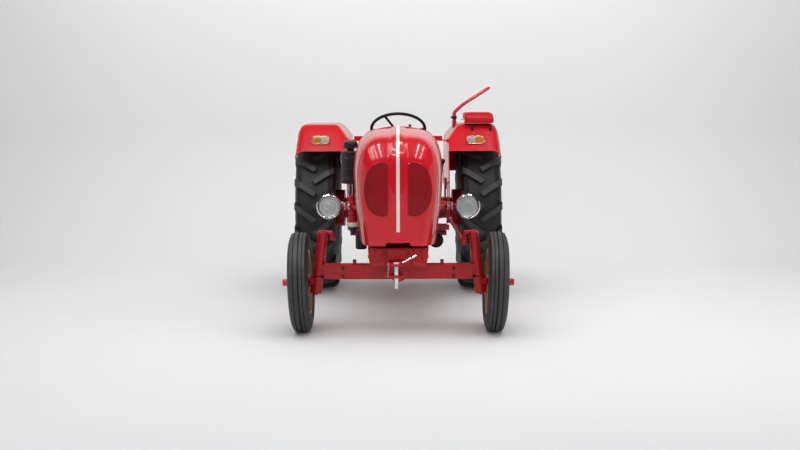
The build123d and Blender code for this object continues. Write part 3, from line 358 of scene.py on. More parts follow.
def dust_group():
    """A mask for the pale dust that settles on upward faces and low down."""
    tree, g, given, out = make_group("Settled dust", [("Amount", 0.2), ("Low", 0.1), ("High", 0.9)], ["Mask"])
    place = g.place()
    cloud = g.noise(place, 7.0, 6.0, Roughness=0.6)
    height = g.add("ShaderNodeSeparateXYZ", {0: place}).outputs["Z"]
    low = g.span(height, given.outputs["Low"], given.outputs["High"], 1.0, 0.15)
    normal = g.add("ShaderNodeNewGeometry").outputs["Normal"]
    facing = g.add("ShaderNodeSeparateXYZ", {0: normal}).outputs["Z"]
    up = g.span(facing, -0.2, 1.0, 0.35, 1.0)
    patch = g.span(cloud, 0.35, 0.75)
    mask = g.math("MULTIPLY", g.math("MULTIPLY", low, up), g.math("MULTIPLY", patch, given.outputs["Amount"]))
    g.put(out, "Mask", mask)
    return tree


def grain_group():
    """Fine height for cast, moulded and painted skins: a coarse and a fine noise."""
    inputs = [("Coarse", 60.0), ("Fine", 700.0), ("Blend", 0.5)]
    tree, g, given, out = make_group("Surface grain", inputs, ["Height"])
    place = g.place()
    coarse = g.noise(place, given.outputs["Coarse"], 3.0)
    fine = g.noise(place, given.outputs["Fine"], 2.0)
    blend = g.add("ShaderNodeMix", {0: given.outputs["Blend"], 2: coarse, 3: fine})
    g.put(out, "Height", blend.outputs[0])
    return tree


GROUPS = {}
FINISHES = {}
DUST = (0.42, 0.36, 0.30)
GLANCING = (0.7, 0.96)
GLASS_IOR = 1.45
COAT_IOR = 1.42


def group(name):
    if not GROUPS:
        GROUPS.update({"wear": edge_wear_group(), "dust": dust_group(), "grain": grain_group()})
    return GROUPS[name]


def new_finish(name):
    material = bpy.data.materials.new(name)
    material.use_nodes = True
    material.node_tree.nodes.clear()
    g = Graph(material.node_tree)
    shader = g.add("ShaderNodeBsdfPrincipled")
    g.add("ShaderNodeOutputMaterial", {"Surface": shader.outputs[0]})
    return material, g, shader


def painted(name, colour, rough=0.3, coat=0.6, bare=(0.16, 0.15, 0.15), wear=0.3, dust=0.12, bump=0.02,
            coarse=35.0, fine=500.0, blend=0.3, drift=0.12, metallic=0.0, coat_rough=0.04, round_edges=True):
    """A coat over metal: its colour drifts a little, corners wear and dust settles low down."""
    material, g, shader = new_finish(name)
    place = g.place()
    cloud = g.noise(place, 2.5, 3.0)
    deep = tuple(c * (1 - drift * 1.5) for c in colour)
    pale = tuple(min(c * (1 + drift), 1.0) for c in colour)
    base = g.mix(g.span(cloud, 0.35, 0.65), deep, pale)
    base = g.mix(g.effect("wear", Amount=wear), base, bare)
    settled = g.effect("dust", Amount=dust)
    g.put(shader, "Base Color", g.mix(settled, base, DUST))
    g.put(shader, "Roughness", g.span(settled, 0.0, 0.5, rough, min(rough + 0.35, 0.9)))
    g.put(shader, "Metallic", metallic)
    # Fine dust dulls the mirror at glancing angles
    facing = g.add("ShaderNodeLayerWeight", {"Blend": 0.5}).outputs["Facing"]
    g.put(shader, "Specular IOR Level", g.span(facing, *GLANCING, 0.18, 0.08))
    g.put(shader, "Coat Weight", g.span(facing, *GLANCING, coat, coat * 0.3))
    g.put(shader, "Coat Roughness", coat_rough)
    g.put(shader, "Coat IOR", COAT_IOR)
    height = g.bump(g.effect("grain", Coarse=coarse, Fine=fine, Blend=blend), bump, 0.002)
    if round_edges:
        g.put(height, "Normal", g.add("ShaderNodeBevel", {"Radius": 0.0018}, samples=3).outputs[0])
    g.put(shader, "Normal", height.outputs[0])
    return material


def bright(name, colour, rough=0.08, smear=0.12, bump=0.01):
    """Plated or polished metal with faint smears."""
    material, g, shader = new_finish(name)
    place = g.place()
    cloud = g.noise(place, 30.0, 5.0)
    g.put(shader, "Base Color", g.mix(g.span(cloud, 0.4, 0.7), colour, tuple(c * 0.8 for c in colour)))
    g.put(shader, "Roughness", g.span(cloud, 0.3, 0.8, rough, rough + smear))
    g.put(shader, "Metallic", 1.0)
    g.put(shader, "Normal", g.bump(g.effect("grain"), bump, 0.001).outputs[0])
    return material


def tyre_rubber(name, axle, groove, crown):
    """Vulcanised rubber: darkest at the grooves' floor, paler up to the tread's tops, ribbed sidewalls."""
    material, g, shader = new_finish(name)
    place = g.place()
    cloud = g.noise(place, 9.0, 6.0)
    fine = g.noise(place, 160.0, 5.0)
    from_axle = g.add("ShaderNodeVectorMath", {0: place, 1: axle}, operation="SUBTRACT").outputs[0]
    flat = g.add("ShaderNodeVectorMath", {0: from_axle, 1: (0.0, 1.0, 1.0)}, operation="MULTIPLY").outputs[0]
    radius = g.add("ShaderNodeVectorMath", {0: flat}, operation="LENGTH").outputs["Value"]
    tread = g.span(radius, groove, crown)
    base = g.mix(tread, (0.009, 0.009, 0.010), (0.042, 0.041, 0.040))
    wall = g.span(radius, groove - 0.02, groove)
    base = g.mix(wall, (0.020, 0.020, 0.021), base)
    base = g.mix(g.math("MULTIPLY", g.span(cloud, 0.35, 0.7), 0.35), base, (0.016, 0.016, 0.016))
    base = g.mix(g.effect("wear", Amount=0.6, Scale=25.0), base, (0.085, 0.083, 0.08))
    g.put(shader, "Base Color", g.mix(g.effect("dust", Amount=0.06), base, (0.13, 0.12, 0.11)))
    g.put(shader, "Roughness", g.span(fine, 0.3, 0.7, 0.48, 0.68))
    g.put(shader, "Specular IOR Level", 0.38)
    g.put(shader, "Normal", g.bump(fine, 0.22, 0.002).outputs[0])
    return material


def clear_glass(name, colour, rough=0.03, ribs=0.0):
    """Clear or tinted glass, with upright ribs on its face where the real lens has them."""
    material, g, shader = new_finish(name)
    place = g.place()
    smear = g.noise(place, 40.0, 3.0)
    g.put(shader, "Base Color", g.mix(smear, colour, tuple(c * 0.9 for c in colour)))
    g.put(shader, "Roughness", g.span(smear, 0.3, 0.7, rough, rough + 0.06))
    g.put(shader, "IOR", GLASS_IOR)
    g.put(shader, "Transmission Weight", 1.0)
    if ribs:
        wave = g.add("ShaderNodeTexWave", {"Vector": place, "Scale": ribs}, bands_direction="X")
        g.put(shader, "Normal", g.bump(wave.outputs["Fac"], 0.5, 0.0015).outputs[0])
    return material


def lens_plastic(name, colour):
    """Moulded lens plastic with prisms inside its face."""
    material, g, shader = new_finish(name)
    place = g.place()
    cells = g.add("ShaderNodeTexVoronoi", {"Vector": place, "Scale": 190.0})
    facet = cells.outputs["Distance"]
    g.put(shader, "Base Color", g.mix(g.span(facet, 0.0, 0.6), colour, tuple(c * 0.62 for c in colour)))
    g.put(shader, "Roughness", g.span(facet, 0.0, 0.7, 0.12, 0.25))
    g.put(shader, "Coat Weight", 0.6)
    g.put(shader, "Subsurface Weight", 0.25)
    g.put(shader, "Subsurface Radius", (0.006, 0.004, 0.002))
    g.put(shader, "Normal", g.bump(facet, 0.35, 0.001).outputs[0])
    return material


def vinyl(name, colour):
    """Seat cover with a leather grain, slightly paler where it is rubbed."""
    material, g, shader = new_finish(name)
    place = g.place()
    pores = g.add("ShaderNodeTexVoronoi", {"Vector": place, "Scale": 420.0}, feature="DISTANCE_TO_EDGE")
    folds = g.noise(place, 14.0, 5.0)
    base = g.mix(g.span(folds, 0.35, 0.7), colour, tuple(c * 0.86 for c in colour))
    g.put(shader, "Specular IOR Level", 0.25)
    rubbed = tuple(min(c * 1.4 + 0.02, 1) for c in colour)
    g.put(shader, "Base Color", g.mix(g.effect("wear", Amount=0.12), base, rubbed))
    g.put(shader, "Roughness", g.span(folds, 0.3, 0.7, 0.34, 0.5))
    pore = g.bump(pores.outputs["Distance"], 0.25, 0.0012)
    crease = g.bump(folds, 0.2, 0.006)
    g.put(crease, "Normal", pore.outputs[0])
    g.put(shader, "Normal", crease.outputs[0])
    return material


RED = (0.560, 0.007, 0.016)


def red_paint(look):
    return painted("red_paint", tuple(look.paint), rough=0.22, coat=1.0, wear=0.05, dust=0.05, bump=0.012,
                   coarse=9.0, fine=300.0, blend=0.2, drift=0.05, coat_rough=0.02)


def red_casting(look):
    return painted("red_casting", tuple(c * 0.72 for c in look.paint), rough=0.30, coat=0.5, wear=0.04,
                   dust=0.03, bump=0.07, coarse=120.0, fine=700.0, blend=0.35, coat_rough=0.05)


def shaded_red_mesh(look):
    # The grille's red at 0.55 of the paint: painted shade in the recessed openings
    return painted("shaded_red_mesh", tuple(c * 0.55 for c in look.paint), rough=0.45, coat=0.25, wear=0.05,
                   dust=0.1, bump=0.05)


def rim_beige(look):
    return painted("rim_beige", tuple(look.rim), rough=0.42, coat=0.25, bare=(0.25, 0.16, 0.09), wear=0.35,
                   dust=0.25, bump=0.05, drift=0.10)


def black_enamel(look):
    return painted("black_enamel", (0.014, 0.014, 0.015), rough=0.36, coat=0.35, wear=0.35, dust=0.10,
                   bump=0.05)


def black_plastic(look):
    return painted("black_plastic", (0.012, 0.012, 0.013), rough=0.38, coat=0.1, bare=(0.05, 0.05, 0.05),
                   wear=0.3, dust=0.05, bump=0.06, fine=900.0, blend=0.8)


def exhaust_steel(look):
    return painted("exhaust_steel", (0.012, 0.011, 0.011), rough=0.48, coat=0.0, bare=(0.07, 0.045, 0.035),
                   wear=0.4, dust=0.08, bump=0.15, coarse=120.0, drift=0.3, metallic=0.2)


def engine_metal(look):
    return painted("engine_metal", (0.165, 0.160, 0.155), rough=0.5, coat=0.0, bare=(0.35, 0.34, 0.33),
                   wear=0.4, dust=0.3, bump=0.25, coarse=160.0, drift=0.25, metallic=0.7)


def dark_inside(look):
    return painted("dark_inside", (0.012, 0.008, 0.008), rough=0.8, coat=0.0, wear=0.0, dust=0.2, bump=0.1,
                   round_edges=False)


def worn_steel(look):
    return bright("worn_steel", (0.42, 0.41, 0.40), rough=0.28, smear=0.25, bump=0.1)


FINISH_MAKERS = {
    "red_paint": red_paint, "red_casting": red_casting, "shaded_red_mesh": shaded_red_mesh, "rim_beige": rim_beige,
    "black_enamel": black_enamel, "black_plastic": black_plastic, "exhaust_steel": exhaust_steel,
    "engine_metal": engine_metal, "dark_inside": dark_inside, "worn_steel": worn_steel,
    "tyre_rubber": lambda look: tyre_rubber("tyre_rubber", at(0, 0, 332.5), 0.318, 0.328),
    "lug_rubber": lambda look: tyre_rubber("lug_rubber", at(*REAR_HUB), 0.612, 0.642),
    "chrome": lambda look: bright("chrome", (0.78, 0.79, 0.80)),
    "zinc": lambda look: bright("zinc", (0.60, 0.61, 0.62), rough=0.22, smear=0.2, bump=0.06),
    "brass_rim": lambda look: bright("brass_rim", (0.72, 0.52, 0.25), rough=0.2),
    # The bright strip as pale grey paint: a painted reflection of the bright room
    "strip_painted_reflection": lambda look: painted("strip_painted_reflection", (0.78, 0.77, 0.75), rough=0.25, coat=0.4,
                                        metallic=0.25, dust=0.0, wear=0.0, drift=0.02),
    # A dark sheet of painted shade behind the grille's holes, where the hood's inside lies in shade
    "grille_painted_shade": lambda look: painted("grille_painted_shade", (0.10, 0.004, 0.007), rough=0.6, coat=0.1,
                                      dust=0.0, wear=0.0),
    "reflector": lambda look: bright("reflector", (0.72, 0.74, 0.74), rough=0.42, smear=0.1),
    "lamp_glass": lambda look: clear_glass("lamp_glass", (0.90, 0.93, 0.92), rough=0.16, ribs=42.0),
    "bulb_glass": lambda look: clear_glass("bulb_glass", (0.98, 0.98, 0.96)),
    "amber_lens": lambda look: lens_plastic("amber_lens", (0.80, 0.25, 0.012)),
    "white_lens": lambda look: lens_plastic("white_lens", (0.62, 0.60, 0.54)),
    "red_lens": lambda look: lens_plastic("red_lens", (0.45, 0.008, 0.01)),
    "seat_vinyl": lambda look: vinyl("seat_vinyl", tuple(look.seat)),
    "seam_thread": lambda look: painted("seam_thread", tuple(c * 0.6 for c in look.seat), rough=0.7,
                                        coat=0.0, wear=0.0, bump=0.3, round_edges=False),
    "cream_paint": lambda look: painted("cream_paint", (0.72, 0.66, 0.52), rough=0.35, coat=0.3, dust=0.1),
    "dial_face": lambda look: painted("dial_face", (0.62, 0.60, 0.55), rough=0.5, coat=0.0, wear=0.0,
                                      dust=0.02),
}


def finish(name):
    """A material by name, made when it is first asked for."""
    if name not in FINISHES:
        FINISHES[name] = FINISH_MAKERS[name](bpy.context.scene.tractor_look)
    return FINISHES[name]


def paint_nodes(look):
    """Every solid of the frame gets its finish."""
    table = (
        ("red_paint", "hood fender_left fender_right cowl side_seat_frame"),
        ("red_casting", "front_bracket axle_beam axle_ends knuckle_left knuckle_right drop_arm drag_link "
                        "tie_rod crankcase gearbox rear_axle steering_box front_hub_left front_hub_right "
                        "rear_hub_left rear_hub_right tow_jaw footboards drawbar lift_arms "
                        "steering_column seat_frame lamp_brackets cooling_duct"),
        ("shaded_red_mesh", "grille"),
        ("engine_metal", "cylinders"),
        ("chrome", "hood_strip tow_pin"),
        ("black_enamel", "air_cleaner headlamps oil_filter"),
        ("black_plastic", "steering_wheel controls"),
        ("exhaust_steel", "exhaust"),
        ("lamp_glass", "headlamp_lenses"),
        ("amber_lens", "indicators"),
        ("red_lens", "tail_lamps"),
        ("rim_beige", "front_rim_left front_rim_right rear_rim_left rear_rim_right"),
        ("tyre_rubber", "front_tyre_left front_tyre_right"),
        ("lug_rubber", "rear_tyre_left rear_tyre_right"),
        ("seat_vinyl", "seat_cushions side_seat_cushion"),
    )
    for name, nodes in table:
        for node in nodes.split():
            slots = NODES[node].data.materials
            slots.clear()
            slots.append(finish(name))


# Hood

# Half of the hood's fullest section, from its foot up the flank and over the shoulder to the crown
FOOT_HALF = 258.0
FOOT_Z = 600
PANEL_TOP = 900
CROWN_Z = 1345
HOOD_LINE = ((FOOT_HALF, FOOT_Z), (265, 660), (275, 740), (287, 836), (295, 930), (299, 1010), (300, 1070),
             (297, 1130), (288, 1186), (271, 1240), (243, 1285), (205, 1316), (160, 1334), (110, 1342),
             (60, 1344), (0, CROWN_Z))
NOSE_TIP = -262.0
NOSE_FULL = 260.0
HOOD_TAIL = 1180.0
TAIL_SCALE = 0.845
TAIL_DROP = 20.0
FAN_HEIGHT = 750.0
PANEL_FOOT = 800
PANEL_FOOT_CLIMB = 430
BAND_RISE = 8.0
RIDGE_RISE = 10.0
NOTCH_X, NOTCH_Z = 76.0, 622.0
BAND_EDGE = (42.0, 60.0)
NOSE_SEAM = 0.87
SHELL_TREES = []


def hood_rows():
    """The section line resampled smoothly, with a row at the notch's height."""
    line = smooth_line([Vector((x, 0, z)) for x, z in HOOD_LINE], 5)
    rows = [(p.x, p.z) for p in line]
    return [rows[0], (rows[0][0] + 2, NOTCH_Z)] + [r for r in rows[1:] if r[1] > NOTCH_Z + 8]


def band_rise(x):
    """How far the centre band and its ridge stand out, falling to the skin past the band's edges."""
    t = min(max((BAND_EDGE[1] - abs(x)) / (BAND_EDGE[1] - BAND_EDGE[0]), 0.0), 1.0)
    return BAND_RISE * t * t * (3 - 2 * t) + max(1 - abs(x) / BAND_EDGE[0], 0.0) * RIDGE_RISE


def side_foot(y):
    """The height of the side panels' lower edge at a station: it climbs towards the rear."""
    return min(y + PANEL_FOOT_CLIMB, PANEL_FOOT)


def nose_point(px, pz, rho):
    """A row's point drawn in towards the nose's middle by a share, as (x, station, z)."""
    cz = min(pz, FAN_HEIGHT)
    y = NOSE_TIP + (NOSE_FULL - NOSE_TIP) * (1 - math.sqrt(max(1 - rho ** 8, 0.0)))
    return rho * px, y, cz + rho * (pz - cz)


def tail_point(px, pz, t):
    """A row's point narrowed and lowered towards the tail by a share, as (x, z)."""
    drop = TAIL_DROP * t * max((pz - FAN_HEIGHT) / (CROWN_Z - FAN_HEIGHT), 0.0)
    return px * (1 - (1 - TAIL_SCALE) * t), pz - drop


def make_hood_shell(look):
    """The hood's skin: blunt nose with a raised centre band, full flanks, notch and side panels."""
    rows = hood_rows()
    # Shares of the half width: close over the band, the notch and the nose's rounded edge
    near = [x / FOOT_HALF for x in (0, 10, 24, 36, BAND_EDGE[0], 52, BAND_EDGE[1], NOTCH_X)]
    far = [0.37, 0.44, 0.52, 0.6, 0.67, 0.73, 0.78, 0.82, 0.85, 0.87, 0.89, 0.91, 0.93, 0.95, 0.965, 0.978,
           0.988, 0.995, 1.0]
    spread = sorted(set(near + far))
    notch = spread.index(NOTCH_X / FOOT_HALF)
    stations = [300, 380, 480, 600, 730, 860, 990, 1100, HOOD_TAIL]
    bm = bmesh.new()
    for side in (-1, 1):
        grid = []
        for px, pz in rows:
            line = [nose_point(px, pz, rho) for rho in spread]
            for y in stations:
                x, z = tail_point(px, pz, (y - NOSE_FULL) / (HOOD_TAIL - NOSE_FULL))
                foot = side_foot(y)
                if pz < PANEL_TOP:
                    z = max(z, foot + (PANEL_TOP - foot) * (pz - FOOT_Z) / (PANEL_TOP - FOOT_Z))
                line.append((x, y, z))
            grid.append([bm.verts.new(at(side * x, y, z)) for x, y, z in line])
        for r, (a, b) in enumerate(zip(grid, grid[1:])):
            for k in range(len(a) - 1):
                if r == 0 and k < notch:
                    continue
                corners = (a[k], a[k + 1], b[k + 1], b[k])
                bm.faces.new(corners if side < 0 else (corners[0], *corners[:0:-1]))
    bmesh.ops.delete(bm, geom=[v for v in bm.verts if not v.link_faces], context="VERTS")
    bmesh.ops.remove_doubles(bm, verts=bm.verts, dist=0.0004)
    bmesh.ops.recalc_face_normals(bm, faces=bm.faces)
    bm.normal_update()
    probe = min(bm.faces, key=lambda f: f.calc_center_median().y)
    if probe.normal.y > 0:
        bmesh.ops.reverse_faces(bm, faces=bm.faces)
        bm.normal_update()
    moves = [(v, v.normal * mm(band_rise(v.co.x * 1000))) for v in bm.verts]
    for v, move in moves:
        v.co += move
    SHELL_TREES.append(BVHTree.FromBMesh(bm))
    shell = add_piece("hood_shell", bm, "hood", "red_paint", "red_paint", angle=50)
    give_wall(shell)
    smooth = shell.modifiers.new("subdivision", "SUBSURF")
    smooth.levels = smooth.render_levels = 1
    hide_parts("hood")


def make_nose_strip(look):
    """The bright strip along the band's ridge, from behind the crown down the nose."""
    tree = SHELL_TREES[0]
    line = []
    for z in range(694, 1300, 14):
        line.append(first_hit(tree, at(0.2, -700, z), BACK)[0])
    for y in range(-60, 1170, 26):
        line.append(first_hit(tree, at(0.2, y, 1700), DOWN)[0])
    bm = bmesh.new()
    section = ((-11, -3), (-11, 1.5), (-6, 4.2), (0, 5.2), (6, 4.2), (11, 1.5), (11, -3))
    rings = []
    for i, point in enumerate(line):
        way = (line[min(i + 1, len(line) - 1)] - line[max(i - 1, 0)]).normalized()
        out = Vector((1, 0, 0)).cross(way).normalized()
        if out.y > 0 or (abs(out.y) < 0.3 and out.z < 0):
            out.negate()
        if i == 0:
            out = Vector((0, -1, 0))
        rings.append([bm.verts.new(Vector((mm(x), point.y, point.z)) + out * mm(h)) for x, h in section])
    for a, b in zip(rings, rings[1:]):
        for k in range(len(section) - 1):
            bm.faces.new((a[k], a[k + 1], b[k + 1], b[k]))
    bm.faces.new(rings[0])
    bm.faces.new(rings[-1][::-1])
    # Its pale grey finish is a painted reflection
    strip = add_piece("nose_strip", bm, "hood", "bright_metal", "strip_painted_reflection", angle=60)
    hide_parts("hood_strip")


GRILLE_X = (64.0, 216.0)
GRILLE_Z = (792.0, 1138.0)
GRILLE_MIDDLE = Vector((140, 955))


def grille_edge(steps=22, out=0.0):
    """The D of the left grille opening as (x, z) in millimetres, `out` beyond its edge."""
    x0, (z0, z1) = GRILLE_X[0] - out, (GRILLE_Z[0] - out, GRILLE_Z[1] + out)
    half, middle, wide = (z1 - z0) / 2, (z0 + z1) / 2, GRILLE_X[1] + out - x0
    run = [Vector((x0, z0 + 14 + (z1 - z0 - 28) * i / steps)) for i in range(steps + 1)]
    bow = []
    for i in range(1, 2 * steps):
        a = math.pi / 2 - math.pi * i / (2 * steps)
        bow.append(Vector((x0 + wide * max(math.cos(a), 0.0) ** 0.62, middle + half * math.sin(a))))
    return run + bow


def on_skin(tree, x, z, proud=0.0):
    """The point of the nose in front of (x, z) millimetres, raised along the skin's normal."""
    hit = first_hit(tree, (mm(x), -3.0, mm(z)), (0, 1, 0))
    return None if hit is None else hit[0] + hit[1] * mm(proud)


def make_grille_mesh(look):
    """Perforated sheets, their red darkened as painted shade, over a dark sheet of painted shade in the
    nose's two openings.
    """
    tree = SHELL_TREES[0]
    pitch = look.mesh_pitch * 1000
    hole = pitch * 0.3
    half = pitch / 2
    eighths = [math.radians(-135 + 45 * i) for i in range(8)]
    edge = grille_edge(24)

    def inside(x, z):
        hits = 0
        for p, q in zip(edge, edge[1:] + edge[:1]):
            if (p.y > z) != (q.y > z) and x < p.x + (z - p.y) * (q.x - p.x) / (q.y - p.y):
                hits += 1
        return hits % 2 == 1

    for name, side in SIDES:
        bm = bmesh.new()
        rings = []
        for t in (1.0, 0.8, 0.6, 0.4, 0.2):
            drawn_in = [GRILLE_MIDDLE + (p - GRILLE_MIDDLE) * t for p in edge]
            rings.append([bm.verts.new(on_skin(tree, side * p.x, p.y, 0.5)) for p in drawn_in])
        for ring_a, ring_b in zip(rings, rings[1:]):
            for k in range(len(edge)):
                j = (k + 1) % len(edge)
                bm.faces.new((ring_a[k], ring_a[j], ring_b[j], ring_b[k]))
        bm.faces.new(rings[-1])
        # The dark sheet behind the holes is painted shade
        add_piece("grille_shade_sheet_" + name, bm, "hood", "mesh_paint", "grille_painted_shade", angle=60)

        bm = bmesh.new()
        corners = {}

        def corner(x, z):
            key = (round(x, 2), round(z, 2))
            if key not in corners:
                corners[key] = bm.verts.new(on_skin(tree, side * x, z, 2.2))
            return corners[key]

        row = 0
        z = GRILLE_Z[0]
        while z < GRILLE_Z[1]:
            x = GRILLE_X[0] + (half if row % 2 else 0)
            while x < GRILLE_X[1]:
                if inside(x, z):
                    rim = [(x - half, z - half), (x, z - half), (x + half, z - half), (x + half, z),
                           (x + half, z + half), (x, z + half), (x - half, z + half), (x - half, z)]
                    outer = [corner(*p) for p in rim]
                    inner = [bm.verts.new(on_skin(tree, side * (x + hole * math.cos(a)),
                                                  z + hole * math.sin(a), 2.2)) for a in eighths]
                    back = [bm.verts.new(v.co + Vector((0, 0.0014, 0))) for v in inner]
                    for i in range(8):
                        j = (i + 1) % 8
                        bm.faces.new((outer[i], outer[j], inner[j], inner[i]))
                        bm.faces.new((inner[i], inner[j], back[j], back[i]))
                x += pitch
            z += pitch
            row += 1
        sheet = add_piece("grille_mesh_" + name, bm, "hood", "mesh_paint", "shaded_red_mesh", angle=30)
        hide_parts("grille")


def make_hood_trim(look):
    """Rolled lips round the openings, the nose's seam, the rear edge's bead and the latches."""
    tree = SHELL_TREES[0]
    bm = bmesh.new()
    lip = [on_skin(tree, p.x, p.y, 1.0) for p in grille_edge(24, out=2.0)]
    tube(bm, lip, 2.8, segments=8, closed=True)
    add_pair("grille_lip", bm, "hood", "mesh_paint", "red_paint")

    bm = bmesh.new()
    rows = hood_rows()
    for side in (-1, 1):
        seam = [nose_point(px, pz, NOSE_SEAM) for px, pz in rows]
        line = [at(side * x, y, z) for x, y, z in seam if x > BAND_EDGE[1]]
        tube(bm, smooth_line(line, 2), 2.0, segments=8)
    tail = [tail_point(px, pz, 1.0) for px, pz in rows if pz > 850]
    line = [at(-x, HOOD_TAIL - 4, z) for x, z in tail] + [at(x, HOOD_TAIL - 4, z) for x, z in reversed(tail)]
    tube(bm, line, 3.6, segments=8)
    add_piece("hood_seams", bm, "hood", "red_paint", "red_paint")

    bm = bmesh.new()
    for x in (-1, 1):
        hit = first_hit(tree, (x * 0.6, (1105 - STATION_MIDDLE) / 1000, 0.86), (-x, 0, 0))
        place = aim(hit[0], hit[1])
        lathe(bm, place, [(-1, 17), (3, 17), (5, 14), (5, 9), (11, 8), (13, 5), (13, 0)], 24)
    add_piece("hood_fasteners", bm, "hood", "bright_metal", "zinc")


# Lamps

LAMP = (509.0, 850.0, 762.0)
LAMP_R = 89.0
LENS_R = 81.0
INDICATOR = (602.0, 1416.5, 1231.0)

# Local X along the tractor's own left, local Y up and local Z ahead
FACE_AHEAD = Matrix(((1, 0, 0), (0, 0, -1), (0, 1, 0))).to_4x4()


def make_headlamps(look):
    """Chrome rims, ribbed glasses over reflectors and bulbs, and the fittings on the arms."""
    face = aim(at(*LAMP), AHEAD)
    bm = bmesh.new()
    ring(bm, face, [(-4, LAMP_R + 1.5), (3, LAMP_R + 1.2), (6, LAMP_R - 3), (7, LENS_R + 1),
                    (5, LENS_R - 1.5), (0, LENS_R - 1.5), (-14, LAMP_R - 1), (-16, LAMP_R + 1)], 64)
    foot = at(LAMP[0], LAMP[1] - 4, LAMP[2] - LAMP_R - 4)
    lathe(bm, aim(foot, (0, -1, 0.2)), [(0, 5), (5, 5), (6, 3.5), (6, 0)], 16)
    add_pair("lamp_rim", bm, "chassis", "bright_metal", "chrome")

    bm = bmesh.new()
    lathe(bm, face, [(-12.8, 0), (-12.6, 12), (-10.6, 14), (-12.0, 30), (-9.6, 33), (-10.4, 50), (-7.4, 53),
                     (-6.5, 68), (-2.5, 71), (0.5, LENS_R - 3)], 48)
    add_pair("lamp_reflector", bm, "chassis", "bright_metal", "reflector")

    bm = bmesh.new()
    lathe(bm, face, [(-12, 7), (-4, 8), (0, 7.6), (3, 5.5), (4.4, 0)], 20)
    add_pair("lamp_bulb", bm, "chassis", "lamp_glass", "bulb_glass")

    bm = bmesh.new()
    dome = [(2 + 9.5 * (1 - (r / LENS_R) ** 2), r) for r in (LENS_R - 2, 66, 50, 34, 17, 0)]
    inside = [(depth - 2.4, r) for depth, r in reversed(dome)]
    lathe(bm, face, inside[:-1] + [(-1.5, LENS_R - 2)] + dome, 64)
    for lens in add_pair("lamp_lens", bm, "chassis", "lamp_glass", "lamp_glass"):
        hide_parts("headlamp_lenses")

    # The bright fitting where each arm meets its lamp
    bm = bmesh.new()
    x, y, z = LAMP[0] - 131, LAMP[1] + 45, LAMP[2]
    for along in (-22, 10):
        lathe(bm, aim(at(x + along, y, z), LEFT),
              [(0, 20), (0, 27.6), (2, 28.8), (9, 28.8), (11, 27.6), (11, 20)], 32)
    bolt(bm, at(x - 6, y - 27, z), AHEAD, 9)
    bolt(bm, at(x - 6, y, z + 27), UP, 9)
    lathe(bm, aim(at(LAMP[0] - 90, y, z), LEFT), [(0, 0), (0, 21), (6, 21), (8, 17), (8, 0)], 6)
    add_pair("lamp_fitting", bm, "chassis", "bright_metal", "zinc", bevel=0.6)


def make_indicators(look):
    """Pill-shaped lamps: a bright rim, an amber half outboard and a clear half inboard."""
    place = Matrix.Translation(at(*INDICATOR)) @ FACE_AHEAD
    bm = bmesh.new()
    line = [place @ Vector((mm(u), mm(v), 0)) for u, v in slot_outline(143, 57)]
    tube(bm, line, 3.6, segments=8, closed=True)
    bar = [place @ Vector((0, mm(v), mm(2.5))) for v in (-26, 0, 26)]
    tube(bm, bar, 2.2, segments=8)
    for u in (-52, 52):
        lathe(bm, place @ Matrix.Translation((mm(u), 0, mm(5.5))), [(0, 5), (2, 5), (3.2, 3.4), (3.2, 0)], 14)
    add_pair("indicator_rim", bm, "chassis", "bright_metal", "brass_rim")
    shares = (-1, -0.8, -0.5, -0.2, 0.2, 0.5, 0.8, 1)
    for name, low, high, material in (("outer", 1.5, 71.5, "amber_lens"),
                                      ("inner", -71.5, -1.5, "white_lens")):
        bm = bmesh.new()
        rows = []
        for k in range(13):
            u = low + (high - low) * k / 12
            end = max(abs(u) - 44, 0)
            half = math.sqrt(max(27.2 ** 2 - end ** 2, 9))
            row = []
            for v in shares:
                proud = 1 + 5.5 * (1 - v * v) * min(1, half / 22) + 0.5 * math.cos(u * 1.4)
                row.append(bm.verts.new(place @ Vector((mm(u), mm(half * v), mm(proud)))))
            rows.append(row)
        for a, b in zip(rows, rows[1:]):
            for k in range(len(shares) - 1):
                bm.faces.new((a[k], b[k], b[k + 1], a[k + 1]))
        add_pair("indicator_" + name, bm, "chassis", "signal_lens", material)


# Wheels

def wheel_place(hub, camber=0.0):
    """The left wheel's centre with its axle along local Z, outward."""
    x = Vector((math.cos(camber), 0, -math.sin(camber)))
    return aim(at(*hub), x)


def wall_out(tree, place, radius, outward):
    """How far out of the wheel's middle the tyre's wall stands at a radius, in millimetres."""
    start = place @ Vector((0, mm(radius), mm(400 * outward)))
    spot = tree.ray_cast(start, place.to_3x3() @ Vector((0, 0, -outward)))[0]
    return (place.inverted() @ spot).z * 1000 * outward


def sidewall_rings(tyre, place, radii, section, segments):
    """The moulded rings on both walls of a tyre, seated on its mesh.

    The section runs over (out of the wall, from the ring's middle radius) in millimetres."""
    bm = bmesh.new()
    tree = surface(tyre)
    for outward in (1, -1):
        for radius in radii:
            wall = wall_out(tree, place, radius, outward)
            ring(bm, place, [(outward * (wall + out), radius + offset) for out, offset in section], segments)
    return bm


def valve(place, radius, angle, along, inward, outward, radii):
    """A valve stem from the rim, leaning in and outward."""
    bm = bmesh.new()
    a = math.radians(angle)
    start = polar(radius, a, along)
    end = start + Vector((-mm(inward) * math.cos(a), -mm(inward) * math.sin(a), mm(outward)))
    tube(bm, [place @ start, place @ (start + (end - start) * 0.6), place @ end], radii, segments=12)
    return bm


